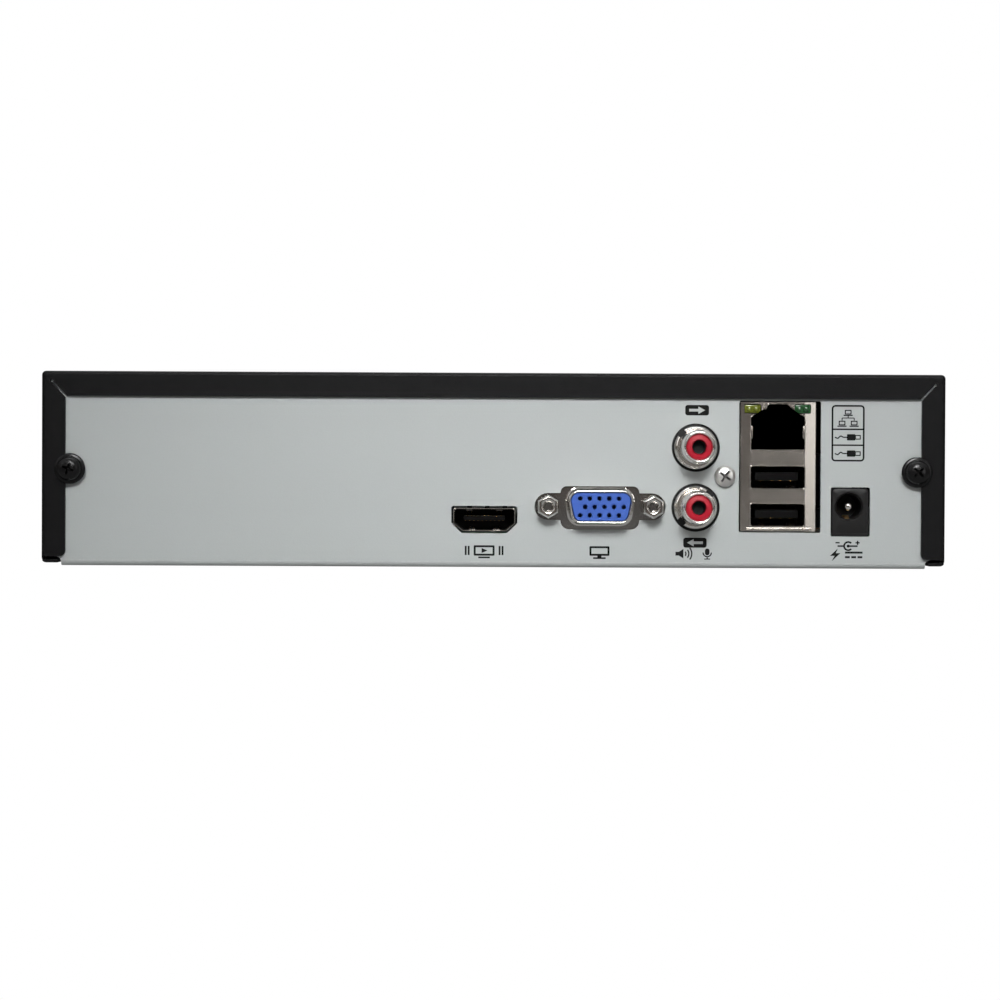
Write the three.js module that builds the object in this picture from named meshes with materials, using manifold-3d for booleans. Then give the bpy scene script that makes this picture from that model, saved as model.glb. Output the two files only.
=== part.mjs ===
// A compact network video recorder: a bent steel tray that carries the rear sockets, a steel cover
// that slides on from the rear, a plastic bezel, the main board and a 3.5-inch hard drive.
//
// Millimetres, +Z up. The origin lies under the middle of the tray, on the surface it stands on.
// The bezel faces -Y and the sockets face +Y, so what is on the right from behind lies towards -X.

import * as THREE from 'three';
import { mergeVertices } from 'three/addons/utils/BufferGeometryUtils.js';
import Module from 'manifold-3d';

const wasm = await Module();
wasm.setup();

// ---------------------------------------------------------------- driving dimensions

const width = 216; // over the cover's sides
const depth = 190; // from the bezel's face to the cover's rear flanges
const sheet = 0.8; // steel of the cover and the tray
const fit = 0.3; // clearance between pieces that slide or pass through each other
const seat = 0.1; // gap under a piece that rests on another

const cover = {
  lift: 0.7, // hems above the table
  bend: 1.0, // outer radius of the bends
  hem: 3.8, // bottom edges turned inwards
  sideFlange: 5.7, // rear flanges turned inwards along the sides
  topFlange: 6.2, // and along the top
  mitre: 0.55, // gap between them at the corners
  flangeFoot: 2.2, // height of the side flanges' lower end
  footRadius: 1.4,
  vents: { count: 12, pitch: 6, slotWidth: 2.4, slotHeight: 20, middleY: -24 },
};
const tray = {
  bend: 1.3, // outer radius of the bends along the front and the rear
  sill: 5, // height at which the folded rear edge becomes the flat panel
  wing: 3.1, // how far the rear panel reaches past the floor, behind the flanges
  sideWall: 14,
  frontWall: 38,
};
const coverScrew = {
  washer: 4.3, head: 3.1, headHeight: 2.1, washerHeight: 0.8, shank: 1.5, length: 7, inset: 5.8,
  recess: 3, slot: 0.7,
};

const bezel = { depth: 9.5, face: 2.2, rim: 2, corner: 1.5 };
const hook = { width: 8, thickness: 1.6, barb: 1.2, inset: 53, marginZ: 8 };
const frontBoard = { width: 76, height: 16, thickness: 1.6, setback: 5.5, inset: 50, z: 23 };
const frontPost = { radius: 1.5, inset: 4 };
const window_ = { width: 24, height: 14, lip: 1, thickness: 1.5, fromBoardEnd: 20 };
const pipes = { radius: 1.5, pitch: 8, count: 3, fromBoardEnd: 22, bar: 1.6 };
const receiver = { width: 6, height: 7, depth: 2.1 };

const board = { thickness: 1.6, standoff: 5.9, depth: 64, side: 11, standoffRadius: 3 };
const boardScrew = { head: 2.8, headHeight: 1.9, shank: 1.4, length: 5, recess: 2.6, slot: 0.6 };

// The sockets' own sizes; heights are counted up from the board.
const power = { width: 8.9, height: 11, depth: 14, bore: 3, boreX: 0.25, boreZ: 6.6 };
const powerPin = { radius: 1, boreDepth: 9.5, setback: 0.8 };
const combo = { width: 17.9, low: 0.6, high: 31.5, depth: 21.3, proud: 0.3, wall: 0.4 };
const network = {
  width: 12.7, low: 20.2, high: 28, stepWidth: 7.4, step: 1.6, notchWidth: 4.5, notch: 1.4, depth: 15,
};
const led = { width: 3.9, height: 2.2, x: 6, low: 28.8, depth: 6 };
const usb = { width: 12.8, height: 5.25, depth: 13, lows: { lower: 1.9, upper: 10.9 } };
const usbTongue = { width: 10.4, thickness: 2, drop: 1.4, setback: 0.8, base: 1.4 };
const audio = { inZ: 6.2, pitch: 14.35, width: 12.4, depth: 13, head: 6.8, hole: 5.8 };
const barrel = { flange: 5.15, flangeProud: 0.4, radius: 4.1, length: 9.5, bore: 3.2, notch: 2 };
const pinHole = { radius: 1.6, depth: 8.5, setback: 0.5 };
const audioScrew = {
  x: -6.95, z: 13.7, head: 2.5, headHeight: 1.6, shank: 1.45, length: 7, recess: 2.4, slot: 0.6, ear: 3,
};
const vga = {
  z: 6.3, width: 16.3, height: 7.9, slope: 10, wall: 0.5, proud: 5,
  flangeWidth: 30.8, flangeHeight: 12.2, flangeThickness: 0.5, bodyDepth: 11, setback: 0.4,
};
const vgaHoles = { radius: 0.55, pitch: 2.3, rowPitch: 2, depth: 5, shifts: [-0.36, 0.8, -0.36] };
const jackscrew = { spacing: 24.99, flats: 4.9, proud: 5.6, bore: 1.1, boreDepth: 4, shank: 1.4, length: 9 };
const hdmi = { z: 3.1, width: 15, height: 5.7, foot: 10, knee: 0.6, wall: 0.4, depth: 11, proud: 0.6 };
const hdmiTongue = { width: 9.9, thickness: 1.1, z: 0.3, root: 6.5, setback: 0.9 };

// Free space before each socket, going from the cover's side towards the middle of the panel.
const aside = { power: 18.2, combo: 3.7, audio: 1.0, vga: 1.25, hdmi: 4.8 };

// Margins of the rear panel's cut-outs round the sockets.
const cutout = { hdmi: 0.4, power: 0.25, comboNear: 0.3, comboFar: 1.1, comboZ: 0.3 };
const vgaCutout = { width: 19.1, top: 4.9, bottom: 5.5, chamfer: 2.7, earsWidth: 31.4, earHeight: 6.5 };

const heatSink = { size: 32, base: 2, fins: 8, finThickness: 1.3, finHeight: 9 };
const processor = { size: 17, height: 1.7, x: -5, fromFront: 28 };
const memory = { width: 9, length: 13, height: 1.2, reach: 27 };
const cell = { radius: 10, height: 3.2, holderWall: 2, holderHeight: 4.6, floor: 0.8 };
const buzzer = { radius: 6, height: 9, hole: 1 };
const inductor = { size: 12, height: 6.5, corner: 1.5 };
const capacitors = { large: { radius: 5, height: 13 }, small: { radius: 4, height: 10.5 } };
const headers = {
  data: { width: 16.5, depth: 5, height: 8.4, inset: 66, fromFront: 8 },
  power: { width: 12, depth: 7, height: 8.4, inset: 48, fromFront: 8 },
  front: { width: 13, depth: 6, height: 6.5, inset: 32, fromFront: 6 },
};
const ribbon = { width: 10, thickness: 0.8, bend: 3, floorGap: 0.9, rise: 20 };

const disk = { length: 147, width: 101.6, height: 26.1, side: 10, front: 6.2, foot: 2.0, corner: 3 };
const diskWall = 2.5;
const diskLid = 0.9;
const diskPocketFloor = 10;
const diskHoles = { fromEnd: [41.28, 85.73], across: 95.25, radius: 1.95, depth: 5 };
const diskScrew = { head: 3.4, headHeight: 1.5, shank: 1.6, length: 4, recess: 2.8, slot: 0.7 };
const diskMount = { radius: 7, pocket: 4.2 };
const platter = { radius: 47.5, thickness: 1.3, x: -21, hub: 12.5, hubHeight: 6, post: 4, z: 14 };
const actuator = { x: 44, y: 26, length: 52, park: 160.8, hub: 7, post: 3.5, arm: 1.2, lift: 0.6, coil: 20 };
const diskBoard = { length: 90, width: 68, thickness: 1.2, recess: 2.6 };
const diskPlug = { width: 42, height: 6.4, depth: 7.5, y: -12, slot: 3 };
const lead = {
  data: { radius: 2.3, plugWidth: 12, plugLength: 12, y: -3, headerSide: 16, bow: 6 },
  power: { radius: 2.8, plugWidth: 18, plugLength: 12, y: -21, headerSide: 12, bow: 14 },
};
const plugHeight = 5;

// ---------------------------------------------------------------- planes worked out from them

const halfWidth = width / 2;
const boardTop = sheet + board.standoff + board.thickness;
// The top flange comes down just to the cut-out of the tallest socket, which sets the cover's height.
const height = boardTop + combo.high + cutout.comboZ + cover.topFlange;
const frontY = -depth / 2; // bezel's face
const rearY = depth / 2; // outer face of the cover's rear flanges
const bodyFrontY = frontY + bezel.depth + fit; // front edge of the tray and the cover
const panelY = rearY - sheet - seat; // outer face of the rear panel
const trayHalf = halfWidth - cover.hem - fit - sheet + 0.3;
const panelHalf = trayHalf + tray.wing;
const panelTop = height - sheet - fit;
const boardHalf = halfWidth - board.side;
const boardRearY = panelY - sheet - fit - 0.2;
const boardFrontY = boardRearY - board.depth;
const screwX = halfWidth - coverScrew.inset;
const screwZ = height / 2;
const diskX = -halfWidth + disk.side + disk.length / 2;
const diskY = bodyFrontY + disk.front + disk.width / 2;
const diskZ = sheet + disk.foot + seat;
const diskEndX = diskX + disk.length / 2;

const inset = {}; // of each socket's middle from the cover's side
inset.power = aside.power + power.width / 2;
inset.combo = inset.power + power.width / 2 + aside.combo + combo.width / 2;
inset.audio = inset.combo + combo.width / 2 + aside.audio + audioScrew.ear - audioScrew.x;
inset.vga = inset.audio + audio.width / 2 + aside.vga + vga.flangeWidth / 2;
inset.hdmi = inset.vga + vga.flangeWidth / 2 + aside.hdmi + hdmi.width / 2;

const boardHoles = [
  [-boardHalf + 6, boardRearY - 22],
  [boardHalf - 6, boardRearY - 6],
  [-boardHalf + 6, boardFrontY + 6],
  [boardHalf - 6, boardFrontY + 6],
];
const mountingHoles = diskHoles.fromEnd.flatMap((fromEnd) => [
  [diskEndX - fromEnd, diskY - diskHoles.across / 2],
  [diskEndX - fromEnd, diskY + diskHoles.across / 2],
]);

// ---------------------------------------------------------------- outlines

// Corners [x, y, radius] as an outline, with an arc wherever a radius is given.
function rounded(corners, steps = 3, closed = true) {
  const count = corners.length;
  return corners.flatMap(([x, y, radius = 0], i) => {
    const corner = new THREE.Vector2(x, y);
    const isEnd = !closed && (i === 0 || i === count - 1);
    if (radius === 0 || isEnd) return [corner];
    const before = new THREE.Vector2(...corners[(i + count - 1) % count]).sub(corner).normalize();
    const after = new THREE.Vector2(...corners[(i + 1) % count]).sub(corner).normalize();
    const half = before.angleTo(after) / 2;
    const centre = before.clone().add(after).setLength(radius / Math.sin(half)).add(corner);
    const start = before.clone().multiplyScalar(radius / Math.tan(half)).add(corner).sub(centre);
    const end = after.clone().multiplyScalar(radius / Math.tan(half)).add(corner).sub(centre);
    const sweep = Math.atan2(start.cross(end), start.dot(end));
    return Array.from({ length: steps + 1 }, (_, k) => (
      start.clone().rotateAround(new THREE.Vector2(), (sweep * k) / steps).add(centre)
    ));
  });
}

function rectangle(sizeX, sizeY, radius = 0, x = 0, y = 0) {
  const [dx, dy] = [sizeX / 2, sizeY / 2];
  return rounded([
    [x - dx, y - dy, radius], [x + dx, y - dy, radius], [x + dx, y + dy, radius], [x - dx, y + dy, radius],
  ]);
}

function circle(radius, x = 0, y = 0, sides = 16) {
  return Array.from({ length: sides }, (_, i) => {
    const angle = ((i + 0.5) * 2 * Math.PI) / sides;
    return new THREE.Vector2(x + radius * Math.cos(angle), y + radius * Math.sin(angle));
  });
}

// A band of even thickness along a bent path, as sheet metal is.
function band(corners, thickness, steps = 3) {
  const path = rounded(corners, steps, false);
  const edge = (sign) => path.map((point, i) => {
    const ahead = (path[i + 1] ?? point).clone().sub(path[i + 1] ? point : path[i - 1]).normalize();
    const behind = point.clone().sub(path[i - 1] ?? point);
    const along = i === 0 ? ahead.clone() : behind.normalize();
    const normal = ahead.clone().add(along).normalize().rotateAround(new THREE.Vector2(), Math.PI / 2);
    const square = along.rotateAround(new THREE.Vector2(), Math.PI / 2);
    return normal.clone().multiplyScalar((sign * thickness) / 2 / normal.dot(square)).add(point);
  });
  return [...edge(1), ...edge(-1).reverse()];
}

// ---------------------------------------------------------------- solids

function solid(geometry) {
  geometry.deleteAttribute('normal');
  geometry.deleteAttribute('uv');
  const merged = mergeVertices(geometry, 1e-4);
  const corners = merged.index.array;
  const triangles = [];
  for (let i = 0; i < corners.length; i += 3) {
    const [a, b, c] = corners.slice(i, i + 3);
    if (a !== b && b !== c && c !== a) triangles.push(a, b, c);
  }
  return new wasm.Manifold(new wasm.Mesh({
    numProp: 3,
    vertProperties: new Float32Array(merged.attributes.position.array),
    triVerts: new Uint32Array(triangles),
  }));
}

function geometryOf(body) {
  const mesh = body.getMesh();
  const geometry = new THREE.BufferGeometry();
  geometry.setAttribute('position', new THREE.BufferAttribute(mesh.vertProperties, 3));
  geometry.setIndex(new THREE.BufferAttribute(mesh.triVerts, 1));
  geometry.computeVertexNormals();
  return geometry;
}

const join = (first, ...rest) => rest.reduce((sum, body) => sum.add(body), first);
const cut = (first, ...rest) => rest.reduce((left, body) => left.subtract(body), first);

// An outline drawn in the plane across an axis (X: y and z, Y: x and z, Z: x and y) and drawn out
// along that axis.
function prism(axis, points, [from, to], holes = []) {
  const shape = new THREE.Shape(points);
  shape.holes = holes.map((hole) => new THREE.Path(hole));
  const geometry = new THREE.ExtrudeGeometry(shape, { depth: to - from, bevelEnabled: false });
  const [x, y, z] = [new THREE.Vector3(1, 0, 0), new THREE.Vector3(0, 1, 0), new THREE.Vector3(0, 0, 1)];
  const turn = new THREE.Matrix4();
  if (axis === 'X') turn.makeBasis(y, z, x);
  if (axis === 'Y') turn.makeBasis(x, z, y.clone().negate());
  geometry.translate(0, 0, axis === 'Y' ? -to : from);
  return solid(geometry.applyMatrix4(turn));
}

const block = ([x0, x1], [y0, y1], z) => prism('Z', [[x0, y0], [x1, y0], [x1, y1], [x0, y1]].map(
  (corner) => new THREE.Vector2(...corner),
), z);

const rod = (axis, radius, span, at = [0, 0], sides = 16) => prism(axis, circle(radius, ...at, sides), span);

// A profile of [radius, height] points, turned about the Y axis.
const turned = (profile, sides = 20) => solid(
  new THREE.LatheGeometry(profile.map((point) => new THREE.Vector2(...point)), sides),
);

// A cross-recess screw whose head points to +Y and rests on the plane y = 0.
function crossScrew({ washer, washerHeight = 0, head, headHeight, shank, length, recess, slot }) {
  const crown = washerHeight + headHeight;
  const rim = washer ? [[washer, 0], [washer, washerHeight * 0.6], [head, washerHeight]] : [[head, 0]];
  const body = turned([
    [0, -length], [shank, -length], [shank, 0], ...rim,
    [head, washerHeight + headHeight * 0.55], [head * 0.82, crown - headHeight * 0.12], [0, crown],
  ], 12);
  const bottom = crown - headHeight * 0.6;
  return cut(
    body,
    block([-recess / 2, recess / 2], [bottom, crown + 1], [-slot / 2, slot / 2]),
    block([-slot / 2, slot / 2], [bottom, crown + 1], [-recess / 2, recess / 2]),
  );
}

// ---------------------------------------------------------------- cover

function coverBody() {
  const middle = halfWidth - sheet / 2;
  const radius = cover.bend - sheet / 2;
  const low = cover.lift + sheet / 2;
  const high = height - sheet / 2;
  const shell = prism('Y', band([
    [-halfWidth + cover.hem, low], [-middle, low, radius], [-middle, high, radius],
    [middle, high, radius], [middle, low, radius], [halfWidth - cover.hem, low],
  ], sheet), [bodyFrontY, rearY]);

  const innerX = halfWidth - cover.sideFlange;
  const innerZ = height - cover.topFlange;
  const portal = prism('Y', rounded([
    [-middle, cover.flangeFoot], [-innerX, cover.flangeFoot, cover.footRadius], [-innerX, innerZ],
    [innerX, innerZ], [innerX, cover.flangeFoot, cover.footRadius], [middle, cover.flangeFoot],
    [middle, high], [-middle, high],
  ]), [rearY - sheet, rearY]);

  const through = [rearY - sheet - 1, rearY + 1];
  const inner = new THREE.Vector2(innerX, innerZ);
  const outer = new THREE.Vector2(halfWidth - sheet, height - sheet);
  const along = outer.clone().sub(inner).normalize();
  const aside = new THREE.Vector2(-along.y, along.x).multiplyScalar(cover.mitre / 2);
  const start = inner.clone().sub(along);
  const slot = [
    start.clone().sub(aside), outer.clone().sub(aside), outer.clone().add(aside), start.clone().add(aside),
  ];
  const mirrored = slot.map((point) => new THREE.Vector2(-point.x, point.y));
  const notches = [-screwX, screwX].map((x) => rod('Y', coverScrew.shank + fit, through, [x, screwZ]));

  const { count, pitch, slotWidth, slotHeight, middleY } = cover.vents;
  const vents = Array.from({ length: count }, (_, i) => prism(
    'X',
    rectangle(
      slotWidth, slotHeight, slotWidth / 2 - 0.01, middleY + (i - (count - 1) / 2) * pitch, height / 2,
    ),
    [-halfWidth - 1, halfWidth + 1],
  ));
  const mitres = [slot, mirrored].map((points) => prism('Y', points, through));
  return cut(join(shell, portal), ...mitres, ...notches, ...vents);
}

// ---------------------------------------------------------------- tray

function hdmiOutline(grow) {
  const [top, side, foot] = [hdmi.height / 2 + grow, hdmi.width / 2 + grow, hdmi.foot / 2 + grow / 2];
  return rounded([
    [-foot, -top, 0.4], [foot, -top, 0.4], [side, -hdmi.knee, 0.4], [side, top, 0.6],
    [-side, top, 0.6], [-side, -hdmi.knee, 0.4],
  ], 2);
}

function vgaHoleOutline() {
  const { width: middle, top, bottom, chamfer, earsWidth, earHeight } = vgaCutout;
  const [side, ears, ear] = [middle / 2, earsWidth / 2, earHeight / 2];
  const right = [
    [side - chamfer, -bottom], [side, -ear], [ears, -ear, ear - 0.05], [ears, ear, ear - 0.05],
    [side, ear], [side, top, top - ear - 0.05],
  ];
  return rounded([...right, ...right.map(([x, z, radius]) => [-x, z, radius]).reverse()]);
}

const moved = (points, x, z) => points.map((point) => new THREE.Vector2(point.x + x, point.y + z));

const socketX = (name) => inset[name] - halfWidth;
const audioZ = { in: boardTop + audio.inZ, out: boardTop + audio.inZ + audio.pitch };

function rearPanel() {
  const comboX = socketX('combo');
  const low = boardTop + combo.low - cutout.comboZ;
  const high = boardTop + combo.high + cutout.comboZ;
  const near = comboX + combo.width / 2 + cutout.comboNear;
  const far = comboX - combo.width / 2 - cutout.comboFar;
  const holes = [
    moved(hdmiOutline(cutout.hdmi), socketX('hdmi'), boardTop + hdmi.z),
    moved(vgaHoleOutline(), socketX('vga'), boardTop + vga.z),
    circle(audio.hole, socketX('audio'), audioZ.in, 28),
    circle(audio.hole, socketX('audio'), audioZ.out, 28),
    circle(audioScrew.shank + fit, socketX('audio') + audioScrew.x, boardTop + audioScrew.z, 12),
    rectangle(near - far, high - low, 0.5, (near + far) / 2, (high + low) / 2),
    rectangle(
      power.width + 2 * cutout.power, power.height + 3 * cutout.power, 0.4,
      socketX('power'), boardTop + power.height / 2 - cutout.power / 2,
    ),
    circle(coverScrew.shank + fit, -screwX, screwZ, 12),
    circle(coverScrew.shank + fit, screwX, screwZ, 12),
  ];
  // The lower corners slope away so that the cover's hems pass under them.
  const hemTop = cover.lift + sheet;
  const right = [
    [trayHalf, tray.bend], [trayHalf + fit, hemTop + fit], [panelHalf, cover.flangeFoot + sheet],
    [panelHalf, panelTop],
  ];
  const outline = rounded([...right, ...right.map(([x, z]) => [-x, z]).reverse()]);
  return prism('Y', outline, [panelY - sheet, panelY], holes);
}

function trayBody() {
  const middle = sheet / 2;
  const radius = tray.bend - middle;
  const floor = prism('X', band([
    [bodyFrontY + middle, tray.frontWall], [bodyFrontY + middle, middle, radius],
    [panelY - middle, middle, radius], [panelY - middle, tray.sill],
  ], sheet), [-trayHalf, trayHalf]);
  const walls = [-1, 1].map((side) => block(
    side > 0 ? [trayHalf - sheet, trayHalf] : [-trayHalf, -trayHalf + sheet],
    [bodyFrontY + 2 * tray.bend, panelY - 2 * tray.bend],
    [middle, tray.sideWall],
  ));
  const standoffTop = sheet + board.standoff - seat;
  const standoffs = boardHoles.map((at) => rod('Z', board.standoffRadius, [middle, standoffTop], at, 12));
  const threads = boardHoles.map((at) => (
    rod('Z', boardScrew.shank + fit, [sheet + 0.2, boardTop], at, 10)
  ));
  const mounts = mountingHoles.map((at) => rod('Z', diskMount.radius, [middle, sheet + disk.foot], at));
  const pockets = mountingHoles.map((at) => rod('Z', diskMount.pocket, [-1, disk.foot], at, 12));
  const bores = mountingHoles.map((at) => rod('Z', diskScrew.shank + fit, [0, diskZ + 1], at, 10));
  const throughFront = [bodyFrontY - 1, bodyFrontY + sheet + 1];
  const slotHeight = hook.thickness + hook.barb + 3 * fit;
  const hookSlots = hookPlaces().map(([x, z]) => prism(
    'Y', rectangle(hook.width + 2 * fit, slotHeight, 0, x, z + hook.barb / 2), throughFront,
  ));
  const ribbonX = halfWidth - headers.front.inset;
  const ribbonSlot = prism('Y', rectangle(ribbon.width + 2, 5, 0.5, ribbonX, frontBoard.z - 4), throughFront);
  const shell = join(floor, rearPanel(), ...walls, ...standoffs, ...mounts);
  return cut(shell, ...threads, ...pockets, ...bores, ...hookSlots, ribbonSlot);
}

// ---------------------------------------------------------------- front, from the bezel's face back

function hookPlaces() {
  const x = halfWidth - hook.inset;
  return [x, -x].flatMap((at) => [[at, hook.marginZ], [at, tray.frontWall - hook.marginZ / 2 - 2]]);
}

const boardEnd = halfWidth - frontBoard.inset - frontBoard.width / 2;
const boardMiddle = halfWidth - frontBoard.inset;
const windowX = boardEnd + window_.fromBoardEnd;
const pipeXs = Array.from({ length: pipes.count }, (_, i) => (
  boardEnd + frontBoard.width - pipes.fromBoardEnd + i * pipes.pitch - pipes.pitch
));
const postXs = [boardEnd + frontPost.inset, boardEnd + frontBoard.width - frontPost.inset];

function bezelBody() {
  const middleZ = (cover.lift + height) / 2;
  const tall = height - cover.lift;
  const outer = prism('Y', rectangle(width, tall, bezel.corner, 0, middleZ), [0, bezel.depth]);
  const pocket = prism('Y', rectangle(width - 2 * bezel.rim, tall - 2 * bezel.rim, 1, 0, middleZ), [
    bezel.face, bezel.depth + 1,
  ]);
  const face = [-1, bezel.face + 1];
  const opening = prism('Y', rectangle(window_.width, window_.height, 1, windowX, frontBoard.z), face);
  const lightHoles = pipeXs.map((x) => rod('Y', pipes.radius + fit / 2, face, [x, frontBoard.z], 12));
  const postEnd = frontBoard.setback + frontBoard.thickness + 0.8;
  const posts = postXs.map((x) => (
    rod('Y', frontPost.radius, [bezel.face / 2, postEnd], [x, frontBoard.z], 12)
  ));
  const reach = bezel.depth + fit + sheet + fit;
  const hooks = hookPlaces().flatMap(([x, z]) => {
    const [across, half] = [[x - hook.width / 2, x + hook.width / 2], hook.thickness / 2];
    return [
      block(across, [bezel.face / 2, reach + 1.6], [z - half, z + half]),
      block(across, [reach, reach + 1.6], [z, z + half + hook.barb]),
    ];
  });
  return join(cut(outer, pocket, opening, ...lightHoles), ...posts, ...hooks);
}

function windowBody() {
  const pane = rectangle(window_.width - fit, window_.height - fit, 1 - fit / 2, windowX, frontBoard.z);
  const [rimWidth, rimHeight] = [window_.width + 2 * window_.lip, window_.height + 2 * window_.lip];
  const rim = rectangle(rimWidth, rimHeight, 1, windowX, frontBoard.z);
  return join(
    prism('Y', pane, [0.2, bezel.face + seat + window_.lip / 2]),
    prism('Y', rim, [bezel.face + seat, bezel.face + seat + 0.6]),
  );
}

function lightPipeBody() {
  const [first, last] = [pipeXs[0], pipeXs[pipeXs.length - 1]];
  const front = bezel.face + seat;
  return join(
    block(
      [first - pipes.radius - 1, last + pipes.radius + 1], [front, front + pipes.bar],
      [frontBoard.z - pipes.radius - 0.5, frontBoard.z + pipes.radius + 0.5],
    ),
    ...pipeXs.map((x) => rod('Y', pipes.radius, [-0.2, front + pipes.bar / 2], [x, frontBoard.z], 12)),
  );
}

function frontBoardBody() {
  const holes = postXs.map((x) => circle(frontPost.radius + fit, x, frontBoard.z, 12));
  return prism('Y', rectangle(frontBoard.width, frontBoard.height, 0.5, boardMiddle, frontBoard.z), [
    frontBoard.setback, frontBoard.setback + frontBoard.thickness,
  ], holes);
}

function receiverBody() {
  const back = frontBoard.setback - seat;
  const box = block(
    [windowX - receiver.width / 2, windowX + receiver.width / 2], [back - receiver.depth + 0.8, back],
    [frontBoard.z - receiver.height / 2, frontBoard.z + receiver.height / 2],
  );
  return join(box, rod('Z', receiver.width / 3, [
    frontBoard.z - receiver.height / 3, frontBoard.z + receiver.height / 3,
  ], [windowX, back - receiver.depth + 0.9], 12).intersect(block(
    [windowX - 4, windowX + 4], [back - receiver.depth + 0.1, back], [frontBoard.z - 4, frontBoard.z + 4],
  )));
}

// The flat cable runs along the floor beside the drive, from the front board to its header.
function ribbonBody() {
  const x = halfWidth - headers.front.inset;
  const floorZ = sheet + ribbon.floorGap;
  const startY = frontY + frontBoard.setback + frontBoard.thickness;
  const wallY = bodyFrontY + sheet + 2.5;
  const headerY = boardFrontY + headers.front.fromFront;
  const headerTop = boardTop + headers.front.height;
  const path = [
    [startY + 1, frontBoard.z - 4], [wallY, frontBoard.z - 4, 1.5], [wallY, floorZ, 1.5],
    [boardFrontY - ribbon.bend, floorZ, ribbon.bend], [boardFrontY - ribbon.bend, ribbon.rise, ribbon.bend],
    [headerY, ribbon.rise, ribbon.bend], [headerY, headerTop + 1],
  ];
  const cable = prism('X', band(path, ribbon.thickness), [x - ribbon.width / 2, x + ribbon.width / 2]);
  const frontPlug = block(
    [x - ribbon.width / 2 - 1, x + ribbon.width / 2 + 1], [startY + seat, startY + 1.6],
    [frontBoard.z - 6, frontBoard.z - 2],
  );
  const boardPlug = block(
    [x - ribbon.width / 2 - 1, x + ribbon.width / 2 + 1], [headerY - 2.5, headerY + 2.5],
    [headerTop + seat, headerTop + 2.4],
  );
  return join(cable, frontPlug, boardPlug);
}

// ------------------------------------------------------ sockets, from the panel's face and the board

const behindPanel = -sheet - seat;

function hdmiShellBody() {
  return prism('Y', hdmiOutline(0), [hdmi.proud - hdmi.depth, hdmi.proud], [hdmiOutline(-hdmi.wall)]);
}

function hdmiTongueBody() {
  const back = hdmi.proud - hdmi.depth;
  const root = prism('Y', hdmiOutline(-hdmi.wall - seat), [back, -hdmiTongue.root]);
  const { width: wide, thickness, z, setback } = hdmiTongue;
  const [across, along] = [[-wide / 2, wide / 2], [-hdmiTongue.root - 1, -setback]];
  return join(root, block(across, along, [z - thickness / 2, z + thickness / 2]));
}

// The tapered outline of the analogue video socket, wide side up.
function dOutline(grow) {
  const half = vga.height / 2 + grow;
  const top = vga.width / 2 + grow;
  const foot = top - 2 * half * Math.tan(THREE.MathUtils.degToRad(vga.slope));
  const radius = 2 + grow;
  return rounded([
    [-foot, -half, radius], [foot, -half, radius], [top, half, radius], [-top, half, radius],
  ], 4);
}

const jackscrewXs = [-jackscrew.spacing / 2, jackscrew.spacing / 2];
const vgaFlangeBack = behindPanel - vga.flangeThickness;

function vgaShellBody() {
  const inner = dOutline(-vga.wall);
  const flange = prism('Y', rectangle(vga.flangeWidth, vga.flangeHeight, 1), [vgaFlangeBack, behindPanel], [
    inner, ...jackscrewXs.map((x) => circle(jackscrew.shank + fit, x, 0, 10)),
  ]);
  return join(flange, prism('Y', dOutline(0), [vgaFlangeBack, vga.proud], [inner]));
}

function vgaInsertBody() {
  const face = vga.proud - vga.setback;
  const front = prism('Y', dOutline(-vga.wall - seat), [vgaFlangeBack - 1, face]);
  const bodyBack = vgaFlangeBack - vga.bodyDepth;
  const bodyOutline = rectangle(vga.flangeWidth - 1, vga.flangeHeight - 0.4, 1);
  const body = prism('Y', bodyOutline, [bodyBack, vgaFlangeBack - seat], [
    ...jackscrewXs.map((x) => circle(jackscrew.shank + fit, x, 0, 10)),
  ]);
  const { radius, pitch, rowPitch, depth: deep, shifts } = vgaHoles;
  const sockets = shifts.flatMap((shift, row) => Array.from({ length: 5 }, (_, i) => (
    rod('Y', radius, [face - deep, face + 1], [-shift + (i - 2) * pitch, (1 - row) * rowPitch], 6)
  )));
  return cut(join(front, body), ...sockets);
}

function jackscrewBody() {
  const seatY = behindPanel + seat;
  const hexRadius = jackscrew.flats / 2 / Math.cos(Math.PI / 6);
  const hex = rod('Y', hexRadius, [seatY, seatY + jackscrew.proud], [0, 0], 6);
  const shank = rod('Y', jackscrew.shank, [seatY - jackscrew.length, seatY + 1], [0, 0], 10);
  const mouth = seatY + jackscrew.proud;
  const bore = [mouth - jackscrew.boreDepth, mouth + 1];
  return cut(join(hex, shank), rod('Y', jackscrew.bore, bore, [0, 0], 10));
}

function audioHousingBody() {
  const side = audio.width / 2;
  const top = audio.inZ + audio.pitch + audio.head;
  const tower = block([-side, side], [behindPanel - audio.depth, behindPanel], [seat, top]);
  const ear = block(
    [audioScrew.x - audioScrew.ear, 0], [behindPanel - audioScrew.length, behindPanel],
    [audioScrew.z - audioScrew.ear - 0.5, audioScrew.z + audioScrew.ear + 0.5],
  );
  return cut(join(tower, ear), rod(
    'Y', audioScrew.shank + fit, [-audioScrew.length - 0.5, 1], [audioScrew.x, audioScrew.z], 12,
  ));
}

// notches: where the flange is cut away, as angles seen from behind.
function barrelBody(notches) {
  const base = behindPanel + seat;
  const { flange, flangeProud, radius, length, bore, notch } = barrel;
  const tube = turned([
    [bore, base], [flange, base], [flange, flangeProud], [radius, flangeProud], [radius, length - 0.4],
    [radius - 0.4, length], [bore, length], [bore, base],
  ]);
  return cut(tube, ...notches.map((degrees) => {
    const angle = THREE.MathUtils.degToRad(degrees);
    const at = [-flange * Math.cos(angle), flange * Math.sin(angle)];
    return rod('Y', notch / 2, [base - 1, flangeProud + 0.5], at, 8);
  }));
}

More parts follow.
